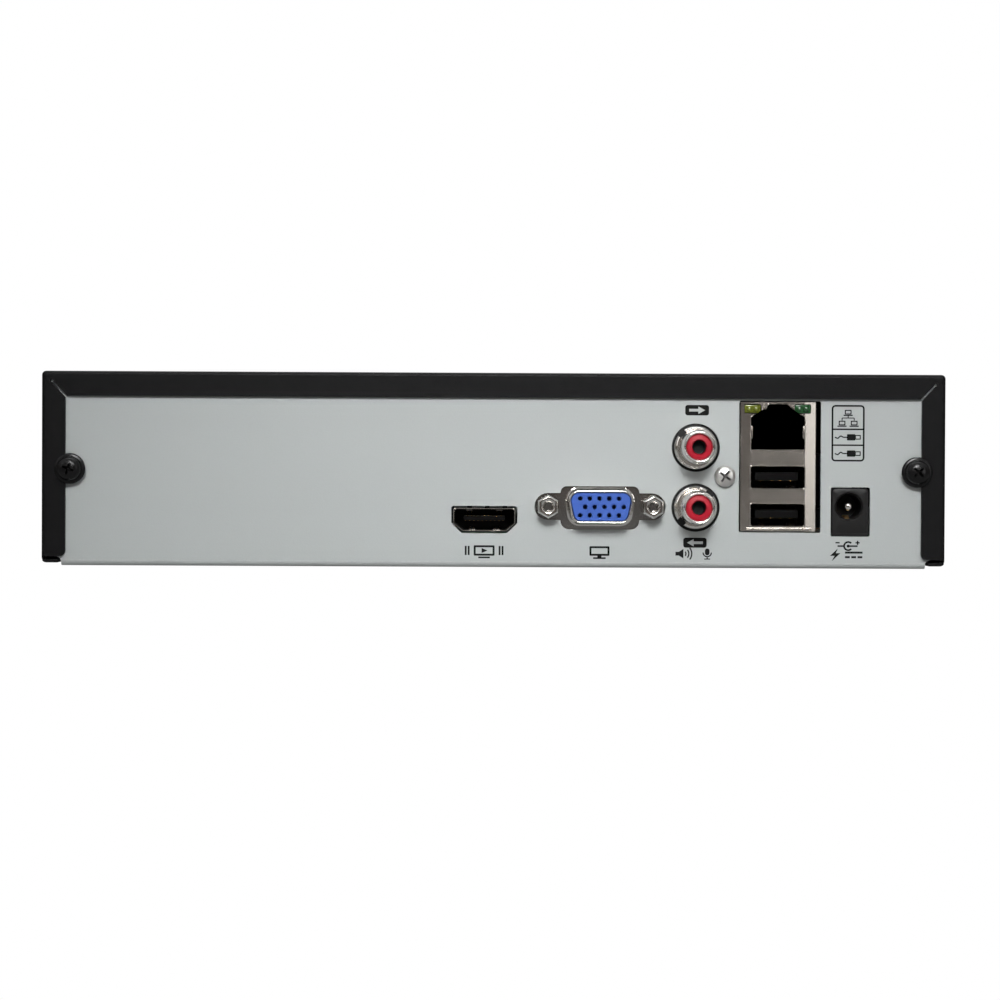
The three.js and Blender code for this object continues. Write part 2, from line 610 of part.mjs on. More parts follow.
function insulatorBody() {
  const face = barrel.length - pinHole.setback;
  const radius = barrel.bore - seat;
  return turned([
    [0, behindPanel + seat], [radius, behindPanel + seat], [radius, face], [pinHole.radius, face],
    [pinHole.radius, face - pinHole.depth], [0, face - pinHole.depth],
  ], 16);
}

function networkMouth(grow) {
  const { width: wide, low, high, stepWidth, step, notchWidth, notch } = network;
  const right = [
    [wide / 2 + grow, low - grow], [wide / 2 + grow, high], [stepWidth / 2 + grow, high],
    [stepWidth / 2 + grow, high + step], [notchWidth / 2 + grow, high + step],
    [notchWidth / 2 + grow, high + step + notch],
  ];
  return rounded([...right, ...right.map(([x, z]) => [-x, z]).reverse()]);
}

const usbMouth = (low) => rectangle(usb.width, usb.height, 0.5, 0, low + usb.height / 2);
const ledMouth = (side) => rectangle(led.width, led.height, 0, side * led.x, led.low + led.height / 2);

function shieldBody() {
  const { width: wide, low, high, depth: deep, proud, wall } = combo;
  const outer = block([-wide / 2, wide / 2], [proud - deep, proud], [low, high]);
  const inside = wide / 2 - wall;
  const hollow = block([-inside, inside], [proud - deep + wall, proud - wall], [low - 1, high - wall]);
  const through = [proud - wall - 0.1, proud + 1];
  const mouths = [
    networkMouth(0), usbMouth(usb.lows.lower), usbMouth(usb.lows.upper), ledMouth(-1), ledMouth(1),
  ].map((mouth) => prism('Y', mouth, through));
  return cut(outer, hollow, ...mouths);
}

function socketBlockBody() {
  const { width: wide, low, high, depth: deep, proud, wall } = combo;
  const front = proud - wall - seat;
  const inside = wide / 2 - wall - seat;
  const body = block([-inside, inside], [proud - deep + wall + seat, front], [low, high - wall - seat]);
  return cut(
    body,
    prism('Y', networkMouth(0), [front - network.depth, front + 1]),
    prism('Y', usbMouth(usb.lows.lower), [front - usb.depth, front + 1]),
    prism('Y', usbMouth(usb.lows.upper), [front - usb.depth, front + 1]),
    ...[-1, 1].map((side) => block(
      [side * led.x - led.width / 2 - seat, side * led.x + led.width / 2 + seat],
      [front - led.depth - seat, front + 1], [led.low - seat, high],
    )),
  );
}

function usbTongueBody(low) {
  const front = combo.proud - combo.wall - seat;
  const back = front - usb.depth + seat;
  const top = low + usb.height - usbTongue.drop;
  const { width: wide, thickness, setback, base } = usbTongue;
  return join(
    block(
      [-usb.width / 2 + 0.6, usb.width / 2 - 0.6], [back, back + base], [low + seat, low + usb.height - seat],
    ),
    block([-wide / 2, wide / 2], [back + base / 2, -setback], [top - thickness, top]),
  );
}

function ledBody() {
  const front = combo.proud - 0.05;
  const { width: wide, height: tall, low, depth: deep } = led;
  return block([-wide / 2 + seat, wide / 2 - seat], [front - deep, front], [low + seat, low + tall - seat]);
}

function powerJackBody() {
  const side = power.width / 2;
  const body = block([-side, side], [seat - power.depth, seat], [seat, power.height]);
  return cut(body, rod('Y', power.bore, [-powerPin.boreDepth, 1], [power.boreX, power.boreZ], 20));
}

function powerPinBody() {
  const [back, tip] = [-powerPin.boreDepth + seat, -powerPin.setback];
  const { radius } = powerPin;
  return turned([[0, back], [radius, back], [radius, tip - radius * 0.6], [radius * 0.6, tip], [0, tip]], 12);
}

// ---------------------------------------------------------------- main board, from its upper face

function mainBoardBody() {
  const holes = boardHoles.map(([x, y]) => circle(boardScrew.shank + fit, x, y, 12));
  const outline = rectangle(2 * boardHalf, board.depth, 1, 0, (boardRearY + boardFrontY) / 2);
  return prism('Z', outline, [-board.thickness, 0], holes);
}

const chip = (sizeX, sizeY, tall, radius = 0) => prism('Z', rectangle(sizeX, sizeY, radius), [seat, tall]);

function heatSinkBody() {
  const { size, base, fins, finThickness, finHeight } = heatSink;
  const half = size / 2;
  const pitch = (size - finThickness) / (fins - 1);
  return join(
    block([-half, half], [-half, half], [0, base]),
    ...Array.from({ length: fins }, (_, i) => block(
      [-half + i * pitch, -half + i * pitch + finThickness], [-half, half], [base / 2, base + finHeight],
    )),
  );
}

function cellHolderBody() {
  const outer = cell.radius + cell.holderWall;
  return cut(
    prism('Z', rectangle(2 * outer, 2 * outer - 3, 4), [seat, cell.holderHeight]),
    rod('Z', cell.radius + fit, [cell.floor + seat, cell.holderHeight + 1], [0, 0], 24),
  );
}

function headerBody({ width: wide, depth: deep, height: tall }) {
  const wall = 1.1;
  return cut(
    block([-wide / 2, wide / 2], [-deep / 2, deep / 2], [seat, tall]),
    block([-wide / 2 + wall, wide / 2 - wall], [-deep / 2 + wall, deep / 2 - wall], [tall - 2.5, tall + 1]),
  );
}

// ------------------------------------------------------ hard drive, from the middle of its underside

const diskTop = disk.height - diskLid - seat;
const plateTop = platter.z + platter.thickness;

function diskCaseBody() {
  const halfLength = disk.length / 2;
  const body = prism('Z', rectangle(disk.length, disk.width, disk.corner), [0, diskTop]);
  const pocket = prism('Z', rectangle(disk.length - 2 * diskWall, disk.width - 2 * diskWall, 6), [
    diskPocketFloor, diskTop + 1,
  ]);
  const recess = block(
    [halfLength - diskPlug.depth - diskBoard.length - 1, halfLength - diskPlug.depth + 0.5],
    [-diskBoard.width / 2 - 0.5, diskBoard.width / 2 + 0.5], [-1, diskBoard.recess],
  );
  const plugRecess = block(
    [halfLength - diskPlug.depth - 0.5, halfLength + 1],
    [diskPlug.y - diskPlug.width / 2 - 0.5, diskPlug.y + diskPlug.width / 2 + 0.5],
    [-1, diskPlug.height + 0.5],
  );
  const holes = diskHoles.fromEnd.flatMap((fromEnd) => [-1, 1].map((side) => rod(
    'Z', diskHoles.radius, [-1, diskHoles.depth], [halfLength - fromEnd, (side * diskHoles.across) / 2], 10,
  )));
  const posts = [
    rod('Z', platter.post, [diskPocketFloor - 1, diskPocketFloor + platter.hubHeight / 2], [platter.x, 0]),
    rod('Z', actuator.post, [diskPocketFloor - 1, plateTop + actuator.lift + 1], [actuator.x, actuator.y]),
  ];
  return join(cut(body, pocket, recess, plugRecess, ...holes), ...posts);
}

function platterBody() {
  const [low, high] = [diskPocketFloor + seat, diskPocketFloor + platter.hubHeight + 1];
  const roof = diskPocketFloor + platter.hubHeight / 2 + fit;
  const { radius, hub, post, z } = platter;
  return turned([
    [0, roof], [post + fit, roof], [post + fit, low], [hub, low], [hub, z], [radius, z], [radius, plateTop],
    [hub, plateTop], [hub, high], [0, high],
  ], 28);
}

function actuatorBody() {
  const low = plateTop + actuator.lift;
  const span = [low, low + actuator.arm];
  const arm = prism('Z', rounded([
    [-5, -5], [actuator.length, -1, 0.8], [actuator.length, 1, 0.8], [-5, 5],
  ]), span);
  const coil = prism('Z', rounded([
    [3, -5], [3, 5], [-actuator.coil, 13, 2], [-actuator.coil, -13, 2],
  ]), span);
  const hub = rod('Z', actuator.hub, [diskPocketFloor + seat, low + 4], [0, 0]);
  const bore = rod('Z', actuator.post + fit, [diskPocketFloor - 1, low + 2], [0, 0], 12);
  return cut(join(arm, coil, hub), bore);
}

function diskBoardBody() {
  const end = disk.length / 2 - diskPlug.depth;
  return prism('Z', rectangle(diskBoard.length, diskBoard.width, 1, end - diskBoard.length / 2 - 0.2), [
    0.4, 0.4 + diskBoard.thickness,
  ]);
}

function diskPlugBody() {
  const end = disk.length / 2;
  const half = diskPlug.width / 2;
  const wall = 1.3;
  return cut(
    block(
      [end - diskPlug.depth + seat, end - 0.2], [diskPlug.y - half, diskPlug.y + half],
      [0.4, diskPlug.height],
    ),
    block(
      [end - 5, end + 1], [diskPlug.y - half + wall, diskPlug.y + half - wall],
      [0.4 + wall, diskPlug.height - wall],
    ),
  );
}

// A lead from the drive's end to its header on the board, with a moulded plug at each end.
function leadBody({ radius, plugWidth, plugLength, y, headerSide, bow: outward }, header) {
  const startY = diskY + y;
  const startZ = diskZ + diskPlug.height / 2;
  const plugX = diskEndX + seat;
  const headerX = halfWidth - header.inset;
  const headerY = boardFrontY + header.fromFront;
  const headerTop = boardTop + header.height + seat;
  const headerPlugTop = headerTop + 8;
  const bow = plugX + plugLength + outward;
  const route = new THREE.CatmullRomCurve3([
    [plugX + plugLength - 1, startY, startZ], [plugX + plugLength + 3, startY, startZ],
    [bow, startY + 9, startZ + 4], [bow, (startY + headerY) / 2, startZ + 13],
    [(bow + headerX) / 2, headerY - 9, headerPlugTop + 6], [headerX, headerY, headerPlugTop + 7],
    [headerX, headerY + 0.5, headerPlugTop - 1],
  ].map((point) => new THREE.Vector3(...point)), false, 'centripetal');
  const tube = solid(new THREE.ExtrudeGeometry(new THREE.Shape(circle(radius, 0, 0, 8)), {
    steps: 26, extrudePath: route,
  }));
  return join(
    tube,
    block([plugX, plugX + plugLength], [startY - plugWidth / 2, startY + plugWidth / 2], [
      startZ - plugHeight / 2, startZ + plugHeight / 2,
    ]),
    block([headerX - headerSide / 2, headerX + headerSide / 2], [headerY - 2.5, headerY + 2.5], [
      headerTop, headerPlugTop,
    ]),
  );
}

// ---------------------------------------------------------------- materials

function paint(color, roughness = 0.6, metalness = 0) {
  return new THREE.MeshStandardMaterial({ color, roughness, metalness });
}

const blackSteel = paint(0x1c1c1c, 0.5);
const greySteel = paint(0xb4b8b7, 0.45);
const chrome = paint(0xd8d6d0, 0.18, 1);
const tin = paint(0x9a948a, 0.4, 1);
const blackPlastic = paint(0x202020, 0.45);
const bluePlastic = paint(0x4268de, 0.45);
const redPlastic = paint(0xb41428, 0.4);
const yellowLens = paint(0x9aa830, 0.3);
const greenLens = paint(0x2f8f45, 0.3);
const smokedPlastic = paint(0x14100f, 0.15);
const clearPlastic = paint(0xdfe6e8, 0.2);
const circuitBoard = paint(0x11492c, 0.5);
const castAluminium = paint(0xa9abad, 0.45, 1);
const polished = paint(0xe6e6e8, 0.08, 1);
const redCable = paint(0xb02020, 0.5);
const whitePlastic = paint(0xe6e2d6, 0.5);

// ---------------------------------------------------------------- assembly

const recorder = new THREE.Group();

function group(x, y, z, parent = recorder) {
  const made = new THREE.Group();
  made.position.set(x, y, z);
  parent.add(made);
  return made;
}

function piece(parent, name, body, material, [x, y, z] = [0, 0, 0], turn = [0, 0, 0]) {
  const mesh = new THREE.Mesh(geometryOf(body), material);
  mesh.name = name;
  mesh.position.set(x, y, z);
  mesh.rotation.set(...turn);
  parent.add(mesh);
}

const headUp = [Math.PI / 2, 0, 0];
const headDown = [-Math.PI / 2, 0, 0];

piece(recorder, 'chassis_tray', trayBody(), greySteel);
piece(recorder, 'top_cover', coverBody(), blackSteel);
piece(recorder, 'cover_screw_left', crossScrew(coverScrew), blackSteel, [
  screwX, rearY + seat, screwZ,
], [0, 0.3, 0]);
piece(recorder, 'cover_screw_right', crossScrew(coverScrew), blackSteel, [
  -screwX, rearY + seat, screwZ,
], [0, 0.75, 0]);

const front = group(0, frontY, 0);
piece(front, 'front_bezel', bezelBody(), blackPlastic);
piece(front, 'ir_window', windowBody(), smokedPlastic);
piece(front, 'light_pipe', lightPipeBody(), clearPlastic);
piece(front, 'front_board', frontBoardBody(), circuitBoard);
piece(front, 'ir_receiver', receiverBody(), smokedPlastic);
piece(recorder, 'front_ribbon', ribbonBody(), whitePlastic);

const socketGroup = (name, z = 0) => group(socketX(name), panelY, boardTop + z);

const hdmiSocket = socketGroup('hdmi', hdmi.z);
piece(hdmiSocket, 'hdmi_shell', hdmiShellBody(), chrome);
piece(hdmiSocket, 'hdmi_tongue', hdmiTongueBody(), blackPlastic);

const vgaSocket = socketGroup('vga', vga.z);
piece(vgaSocket, 'vga_shell', vgaShellBody(), chrome);
piece(vgaSocket, 'vga_insert', vgaInsertBody(), bluePlastic);
piece(vgaSocket, 'vga_jackscrew_left', jackscrewBody(), chrome, [jackscrew.spacing / 2, 0, 0]);
piece(vgaSocket, 'vga_jackscrew_right', jackscrewBody(), chrome, [-jackscrew.spacing / 2, 0, 0]);

const audioSocket = socketGroup('audio');
piece(audioSocket, 'audio_jack_housing', audioHousingBody(), blackPlastic);
const jacks = {
  out: { z: audio.inZ + audio.pitch, notches: [135] },
  in: { z: audio.inZ, notches: [45, 225] },
};
for (const [name, jack] of Object.entries(jacks)) {
  piece(audioSocket, `audio_barrel_${name}`, barrelBody(jack.notches), chrome, [0, 0, jack.z]);
  piece(audioSocket, `audio_insulator_${name}`, insulatorBody(), redPlastic, [0, 0, jack.z]);
}
piece(audioSocket, 'audio_jack_screw', crossScrew(audioScrew), chrome, [audioScrew.x, seat, audioScrew.z]);

const comboSocket = socketGroup('combo');
piece(comboSocket, 'network_usb_shield', shieldBody(), tin);
piece(comboSocket, 'network_usb_body', socketBlockBody(), blackPlastic);
for (const [name, low] of Object.entries(usb.lows)) {
  piece(comboSocket, `usb_tongue_${name}`, usbTongueBody(low), blackPlastic);
}
piece(comboSocket, 'link_led_left', ledBody(), yellowLens, [led.x, 0, 0]);
piece(comboSocket, 'link_led_right', ledBody(), greenLens, [-led.x, 0, 0]);

const powerSocket = socketGroup('power');
piece(powerSocket, 'power_jack_body', powerJackBody(), blackPlastic);
piece(powerSocket, 'power_jack_pin', powerPinBody(), chrome, [power.boreX, 0, power.boreZ]);

const electronics = group(0, 0, boardTop);
const processorY = boardFrontY + processor.fromFront;
piece(electronics, 'main_board', mainBoardBody(), circuitBoard);
piece(electronics, 'processor', chip(processor.size, processor.size, processor.height), blackPlastic, [
  processor.x, processorY, 0,
]);
piece(electronics, 'heat_sink', heatSinkBody(), castAluminium, [
  processor.x, processorY, processor.height + seat,
]);
[['left', 1], ['right', -1]].forEach(([name, side]) => piece(
  electronics, `memory_chip_${name}`, chip(memory.width, memory.length, memory.height), blackPlastic,
  [processor.x + side * memory.reach, processorY, 0],
));
piece(electronics, 'coin_cell_holder', cellHolderBody(), blackPlastic, [boardHalf - 52, boardRearY - 18, 0]);
piece(electronics, 'coin_cell', rod('Z', cell.radius, [0, cell.height], [0, 0], 24), chrome, [
  boardHalf - 52, boardRearY - 18, cell.floor + 2 * seat,
]);
piece(electronics, 'buzzer', cut(
  rod('Z', buzzer.radius, [seat, buzzer.height], [0, 0], 20),
  rod('Z', buzzer.hole, [buzzer.height - 3, buzzer.height + 1], [0, 0], 8),
), blackPlastic, [boardHalf - 24, boardRearY - 22, 0]);
const inductorBody = chip(inductor.size, inductor.size, inductor.height, inductor.corner);
piece(electronics, 'power_inductor', inductorBody, blackPlastic, [
  -boardHalf + 18, boardFrontY + 26, 0,
]);
const capacitorPlaces = {
  large: [-boardHalf + 32, boardFrontY + 22, 0],
  small: [-boardHalf + 32, boardFrontY + 9, 0],
};
for (const [name, { radius, height: tall }] of Object.entries(capacitors)) {
  const can = rod('Z', radius, [seat, tall], [0, 0], 16);
  piece(electronics, `capacitor_${name}`, can, castAluminium, capacitorPlaces[name]);
}
piece(electronics, 'sata_data_header', headerBody(headers.data), blackPlastic, [
  halfWidth - headers.data.inset, boardFrontY + headers.data.fromFront, 0,
]);
piece(electronics, 'sata_power_header', headerBody(headers.power), whitePlastic, [
  halfWidth - headers.power.inset, boardFrontY + headers.power.fromFront, 0,
]);
piece(electronics, 'front_header', headerBody(headers.front), whitePlastic, [
  halfWidth - headers.front.inset, boardFrontY + headers.front.fromFront, 0,
]);
boardHoles.forEach(([x, y], i) => piece(
  electronics, `board_screw_${i + 1}`, crossScrew(boardScrew), chrome, [x, y, seat], headUp,
));

const drive = group(diskX, diskY, diskZ);
piece(drive, 'disk_case', diskCaseBody(), castAluminium);
piece(drive, 'disk_lid', prism('Z', rectangle(disk.length - 1, disk.width - 1, disk.corner), [
  diskTop + seat, disk.height,
]), polished);
piece(drive, 'disk_platter', platterBody(), polished, [platter.x, 0, 0], headUp);
piece(drive, 'disk_actuator', actuatorBody(), castAluminium, [actuator.x, actuator.y, 0], [
  0, 0, THREE.MathUtils.degToRad(actuator.park),
]);
piece(drive, 'disk_circuit_board', diskBoardBody(), circuitBoard);
piece(drive, 'disk_connector', diskPlugBody(), blackPlastic);
mountingHoles.forEach(([x, y], i) => piece(
  recorder, `disk_screw_${i + 1}`, crossScrew(diskScrew), chrome, [x, y, disk.foot - seat], headDown,
));

piece(recorder, 'sata_data_cable', leadBody(lead.data, headers.data), redCable);
piece(recorder, 'sata_power_cable', leadBody(lead.power, headers.power), blackPlastic);

export default recorder;
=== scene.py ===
# %% [markdown]
# # A compact network video recorder
# The case is two folded steel parts: a light grey tray with the rear sockets, and a black cover that
# slides on from behind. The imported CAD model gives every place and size. This script keeps those and
# remakes each surface with the folds, rims, threads and finishes that a bench view would show.

# %% Load the frame
import math
import random

import bmesh
import bpy
from mathutils import Matrix, Vector


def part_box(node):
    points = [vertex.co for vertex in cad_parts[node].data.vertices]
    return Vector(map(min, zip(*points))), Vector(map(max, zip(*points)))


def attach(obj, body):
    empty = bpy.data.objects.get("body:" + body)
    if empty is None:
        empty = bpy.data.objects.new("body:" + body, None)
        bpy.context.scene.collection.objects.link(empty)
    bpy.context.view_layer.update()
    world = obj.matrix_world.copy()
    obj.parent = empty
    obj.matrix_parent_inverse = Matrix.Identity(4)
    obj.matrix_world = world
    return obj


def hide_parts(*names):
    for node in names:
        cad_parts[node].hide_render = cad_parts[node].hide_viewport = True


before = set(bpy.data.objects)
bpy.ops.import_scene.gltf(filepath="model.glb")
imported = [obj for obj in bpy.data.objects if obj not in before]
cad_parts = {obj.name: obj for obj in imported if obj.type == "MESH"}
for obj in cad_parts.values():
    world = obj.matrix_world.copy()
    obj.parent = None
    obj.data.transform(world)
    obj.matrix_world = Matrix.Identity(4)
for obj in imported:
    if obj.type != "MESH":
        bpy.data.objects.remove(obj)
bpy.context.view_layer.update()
MM = 0.001

# %% [markdown]
# Everything below is worked out in millimetres, because sheet metal and sockets are drawn that way.
# A piece is scaled to metres once, when its mesh is made.

# %% Measure the CAD pieces in millimetres
def low_high(node):
    low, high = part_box(node)
    return low / MM, high / MM


def middle(node):
    low, high = low_high(node)
    return (low + high) / 2


cover_low, cover_high = low_high("top_cover")
tray_low, tray_high = low_high("chassis_tray")
half_width, top_z, rear_y, front_edge = cover_high.x, cover_high.z + 0.2, cover_high.y, cover_low.y
SHEET = 0.8
panel_y = tray_high.y
print("case", 2 * half_width, "wide,", top_z, "high, panel at", round(panel_y, 2))

# %% [markdown]
# ## Camera, light and floor
# The recorder is looked at from behind, nearly level, from about half a metre. A long lens keeps the
# panel square. The small tilt, turn and roll are those of a camera set up by hand. They go into one
# matrix, so that each acts about the camera's own axes.

# %% Camera behind the rear panel
CAMERA_DISTANCE, CAMERA_HEIGHT, LENS = 520, 21, 78.25
camera_data = bpy.data.cameras.new("camera")
camera_data.sensor_width = 36
camera_data.lens = LENS
camera = bpy.data.objects.new("camera", camera_data)
camera.location = Vector((0, panel_y + CAMERA_DISTANCE, CAMERA_HEIGHT)) * MM
tilt, turn, roll = math.radians(-0.54), math.radians(-0.17), math.radians(0.27)
camera.matrix_world = (
    Matrix.Translation(camera.location)
    @ Matrix.Rotation(math.pi + turn, 4, "Z")
    @ Matrix.Rotation(math.pi / 2 + tilt, 4, "X")
    @ Matrix.Rotation(roll, 4, "Z")
)
bpy.context.scene.collection.objects.link(camera)
bpy.context.scene.camera = camera

# %% [markdown]
# Finishes are wired from nodes, and a few kinds of node come again and again: arithmetic, a change
# of range, and a blend of two colours. A small helper for each keeps the wiring short to read.

# %% Helpers for wiring nodes
def put(tree, kind, inputs=(), **settings):
    """A new node, with its settings, and its inputs given as values or as sockets to link."""
    node = tree.nodes.new(kind)
    for name, value in settings.items():
        setattr(node, name, value)
    for key, value in dict(inputs).items():
        if isinstance(value, bpy.types.NodeSocket):
            tree.links.new(value, node.inputs[key])
        else:
            node.inputs[key].default_value = value
    return node


def maths(tree, operation, *values):
    """The result of a Math node."""
    return put(tree, "ShaderNodeMath", dict(enumerate(values)), operation=operation).outputs[0]


def between(tree, value, low, high, start, end):
    """A number that runs from start to end as the value runs from low to high."""
    return put(tree, "ShaderNodeMapRange", {0: value, 1: low, 2: high, 3: start, 4: end}).outputs[0]


def blended(tree, amount, *colours):
    """A colour between two, each given as numbers or as a socket."""
    first, second = (c if isinstance(c, bpy.types.NodeSocket) else (*c, 1) for c in colours)
    return put(tree, "ShaderNodeMix", {0: amount, 6: first, 7: second}, data_type="RGBA").outputs[2]


def scaled(tree, colour, amount):
    """A colour made lighter or darker."""
    return put(tree, "ShaderNodeVectorMath", {0: colour, "Scale": amount}, operation="SCALE").outputs[0]


def new_material(name):
    material = bpy.data.materials.new(name)
    material.use_nodes = True
    return material


# %% [markdown]
# The table is seen as plain white, but what it throws up at the case is dimmer, and dimmer still
# further off, as on a real table in the shade of what stands on it. Light Path tells the two apart:
# the camera's own rays see full white.

# %% A white table
table_white = new_material("table_white")
tree = table_white.node_tree
tree.nodes.clear()
seen = put(tree, "ShaderNodeLightPath").outputs["Is Camera Ray"]
place = put(tree, "ShaderNodeTexCoord").outputs["Object"]
away = put(tree, "ShaderNodeVectorMath", {0: place}, operation="LENGTH").outputs["Value"]
dim_glow = between(tree, away, 0.16, 0.5, 0.32, 0.05)
glow = put(tree, "ShaderNodeEmission", {"Strength": maths(tree, "MAXIMUM", dim_glow, seen)})
tree.links.new(glow.outputs[0], put(tree, "ShaderNodeOutputMaterial").inputs["Surface"])
table = bmesh.new()
bmesh.ops.create_grid(table, x_segments=1, y_segments=1, size=6)
table_mesh = bpy.data.meshes.new("table")
table.to_mesh(table_mesh)
table.free()
floor = bpy.data.objects.new("table", table_mesh)
floor.location.z = -0.2 * MM
table_mesh.materials.append(table_white)
bpy.context.scene.collection.objects.link(floor)

# %% [markdown]
# An evenly white tent would show in the plating as flat grey. This one is bright overhead and dims
# towards the table, so that each rim has a light side and a dark side.

# %% A tent that is white above and dim below
world = bpy.data.worlds.new("tent")
bpy.context.scene.world = world
world.use_nodes = True
tree = world.node_tree
background = tree.nodes["Background"]
direction = put(tree, "ShaderNodeSeparateXYZ", {0: put(tree, "ShaderNodeTexCoord").outputs["Generated"]})
height = put(tree, "ShaderNodeValToRGB", {0: direction.outputs["Z"]})
stops = [(0.0, (0.085, 0.07, 0.062)), (0.16, (0.15, 0.125, 0.11)), (0.38, (0.27, 0.26, 0.26)),
         (0.7, (0.6, 0.6, 0.6))]
ramp = height.color_ramp
while len(ramp.elements) < len(stops):
    ramp.elements.new(0.5)
for element, (position, colour) in zip(ramp.elements, stops):
    element.position = position
    element.color = (*colour, 1)
seen = put(tree, "ShaderNodeLightPath").outputs["Is Camera Ray"]
tree.links.new(blended(tree, seen, height.outputs[0], (1, 1, 1)), background.inputs["Color"])
bpy.context.scene.view_settings.view_transform = "Standard"

# %% [markdown]
# Four soft boxes: a key with a narrow spread, which lights the middle of the panel more than its
# ends, a strip at each side for the long highlights on the barrels, and a broad one over the lid.
# Their places are in metres, as Blender's lights are.

# %% Soft boxes
def soft_box(name, place, aim, size, power, spread=180):
    data = bpy.data.lights.new(name, "AREA")
    data.shape = "RECTANGLE"
    data.spread = math.radians(spread)
    data.size, data.size_y = size
    data.energy = power
    light = bpy.data.objects.new(name, data)
    light.location = place
    light.rotation_mode = "QUATERNION"
    light.rotation_quaternion = (Vector(aim) - Vector(place)).to_track_quat("-Z", "Y")
    bpy.context.scene.collection.objects.link(light)


soft_box("key", (-0.02, 0.66, 0.35), aim=(-0.018, 0.09, 0.023), size=(0.3, 0.2), power=0.273, spread=32)
soft_box("side_right", (-0.42, 0.6, 0.1), aim=(-0.06, 0.09, 0.02), size=(0.08, 0.3), power=0.27)
soft_box("side_left", (0.6, 0.5, 0.3), aim=(0.02, 0.09, 0.02), size=(0.08, 0.4), power=0.25)
soft_box("top", (0, -0.05, 0.8), aim=(0, 0, 0), size=(0.8, 0.6), power=4)

# %% [markdown]
# ## Making pieces
# Every piece starts in a bmesh, in millimetres. One function turns it into an object: it merges what
# touches, points the faces outwards, gives cut edges a small radius if asked, marks the creases sharp, puts
# the piece on the body it rides on and hides the CAD nodes it stands for.

# %% The function that finishes a piece
def piece(bm, name, material, body="chassis", replaces=(), rim=0, crease=40):
    bmesh.ops.remove_doubles(bm, verts=bm.verts[:], dist=1e-4)
    bmesh.ops.recalc_face_normals(bm, faces=bm.faces[:])
    bmesh.ops.scale(bm, vec=(MM, MM, MM), verts=bm.verts[:])
    mesh = bpy.data.meshes.new(name)
    bm.to_mesh(mesh)
    bm.free()
    obj = bpy.data.objects.new(name, mesh)
    bpy.context.scene.collection.objects.link(obj)
    if rim:
        round_off = obj.modifiers.new("rim", "BEVEL")
        round_off.width = rim * MM
        round_off.segments = 2
        round_off.limit_method = "ANGLE"
        round_off.angle_limit = math.radians(crease)
        round_off.use_clamp_overlap = True
    if obj.modifiers:
        graph = bpy.context.evaluated_depsgraph_get()
        obj.data = bpy.data.meshes.new_from_object(obj.evaluated_get(graph))
        obj.modifiers.clear()
    obj.data.polygons.foreach_set("use_smooth", [True] * len(obj.data.polygons))
    obj.data.set_sharp_from_angle(angle=math.radians(crease + 10))
    even = obj.modifiers.new("even_shading", "WEIGHTED_NORMAL")
    even.keep_sharp = True
    for one in material if isinstance(material, (list, tuple)) else [material]:
        obj.data.materials.append(one)
    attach(obj, body)
    if replaces:
        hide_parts(*([replaces] if isinstance(replaces, str) else replaces))
    return obj


# %% [markdown]
# Outlines are short lists of corners, each with a radius if it is round. A slab is an outline filled
# and extruded along an axis, with holes left open; a lathe spins a profile; a loft bridges rings.

# %% Outlines
def outline(corners, steps=6):
    """Points round a closed outline, from corners given as (x, y) or (x, y, radius)."""
    points = []
    for i, (x, y, *radius) in enumerate(corners):
        here = Vector((x, y))
        if not radius or radius[0] <= 0:
            points.append(here)
            continue
        before = (Vector(corners[i - 1][:2]) - here).normalized()
        after = (Vector(corners[(i + 1) % len(corners)][:2]) - here).normalized()
        half = before.angle(after) / 2
        centre = here + (before + after).normalized() * radius[0] / math.sin(half)
        start = here + before * radius[0] / math.tan(half) - centre
        end = here + after * radius[0] / math.tan(half) - centre
        sweep = math.atan2(start.x * end.y - start.y * end.x, start.dot(end))
        points += [centre + Matrix.Rotation(sweep * k / steps, 2) @ start for k in range(steps + 1)]
    return points


def both_sides(half):
    """The corners up one side of an outline, then the same mirrored, down the other."""
    return half + [(-x, y, *radius) for x, y, *radius in reversed(half)]


def rectangle(x, y, width, height, radius=0, steps=6):
    dx, dy = width / 2, height / 2
    corners = ((x - dx, y - dy), (x + dx, y - dy), (x + dx, y + dy), (x - dx, y + dy))
    return outline([(*corner, radius) for corner in corners], steps)


def circle(x, y, radius, sides=40):
    return [Vector((x + radius * math.cos(2 * math.pi * (i + 0.5) / sides),
                    y + radius * math.sin(2 * math.pi * (i + 0.5) / sides))) for i in range(sides)]


# Where an outline's two coordinates and the distance along an axis go.
PLACE = {"X": lambda a, b, c: (c, a, b), "Y": lambda a, b, c: (a, c, b), "Z": lambda a, b, c: (a, b, c)}


# %% Slabs, lathes, lofts and blocks
def ring(bm, axis, points, along):
    verts = [bm.verts.new(PLACE[axis](p[0], p[1], along)) for p in points]
    return verts, [bm.edges.new((verts[i - 1], verts[i])) for i in range(len(verts))]


def flat(bm, axis, loops, along):
    edges = []
    for loop in loops:
        verts, loop_edges = ring(bm, axis, loop, along)
        edges += loop_edges
    if len(loops) == 1:
        return [bm.faces.new(verts)]
    filled = bmesh.ops.triangle_fill(bm, use_beauty=True, use_dissolve=False, edges=edges)
    return [f for f in filled["geom"] if isinstance(f, bmesh.types.BMFace)]


def slab(bm, axis, loops, span):
    faces = flat(bm, axis, loops, span[0])
    moved = bmesh.ops.extrude_face_region(bm, geom=faces, use_keep_orig=True)["geom"]
    shift = PLACE[axis](0, 0, span[1] - span[0])
    bmesh.ops.translate(bm, vec=shift, verts=[v for v in moved if isinstance(v, bmesh.types.BMVert)])


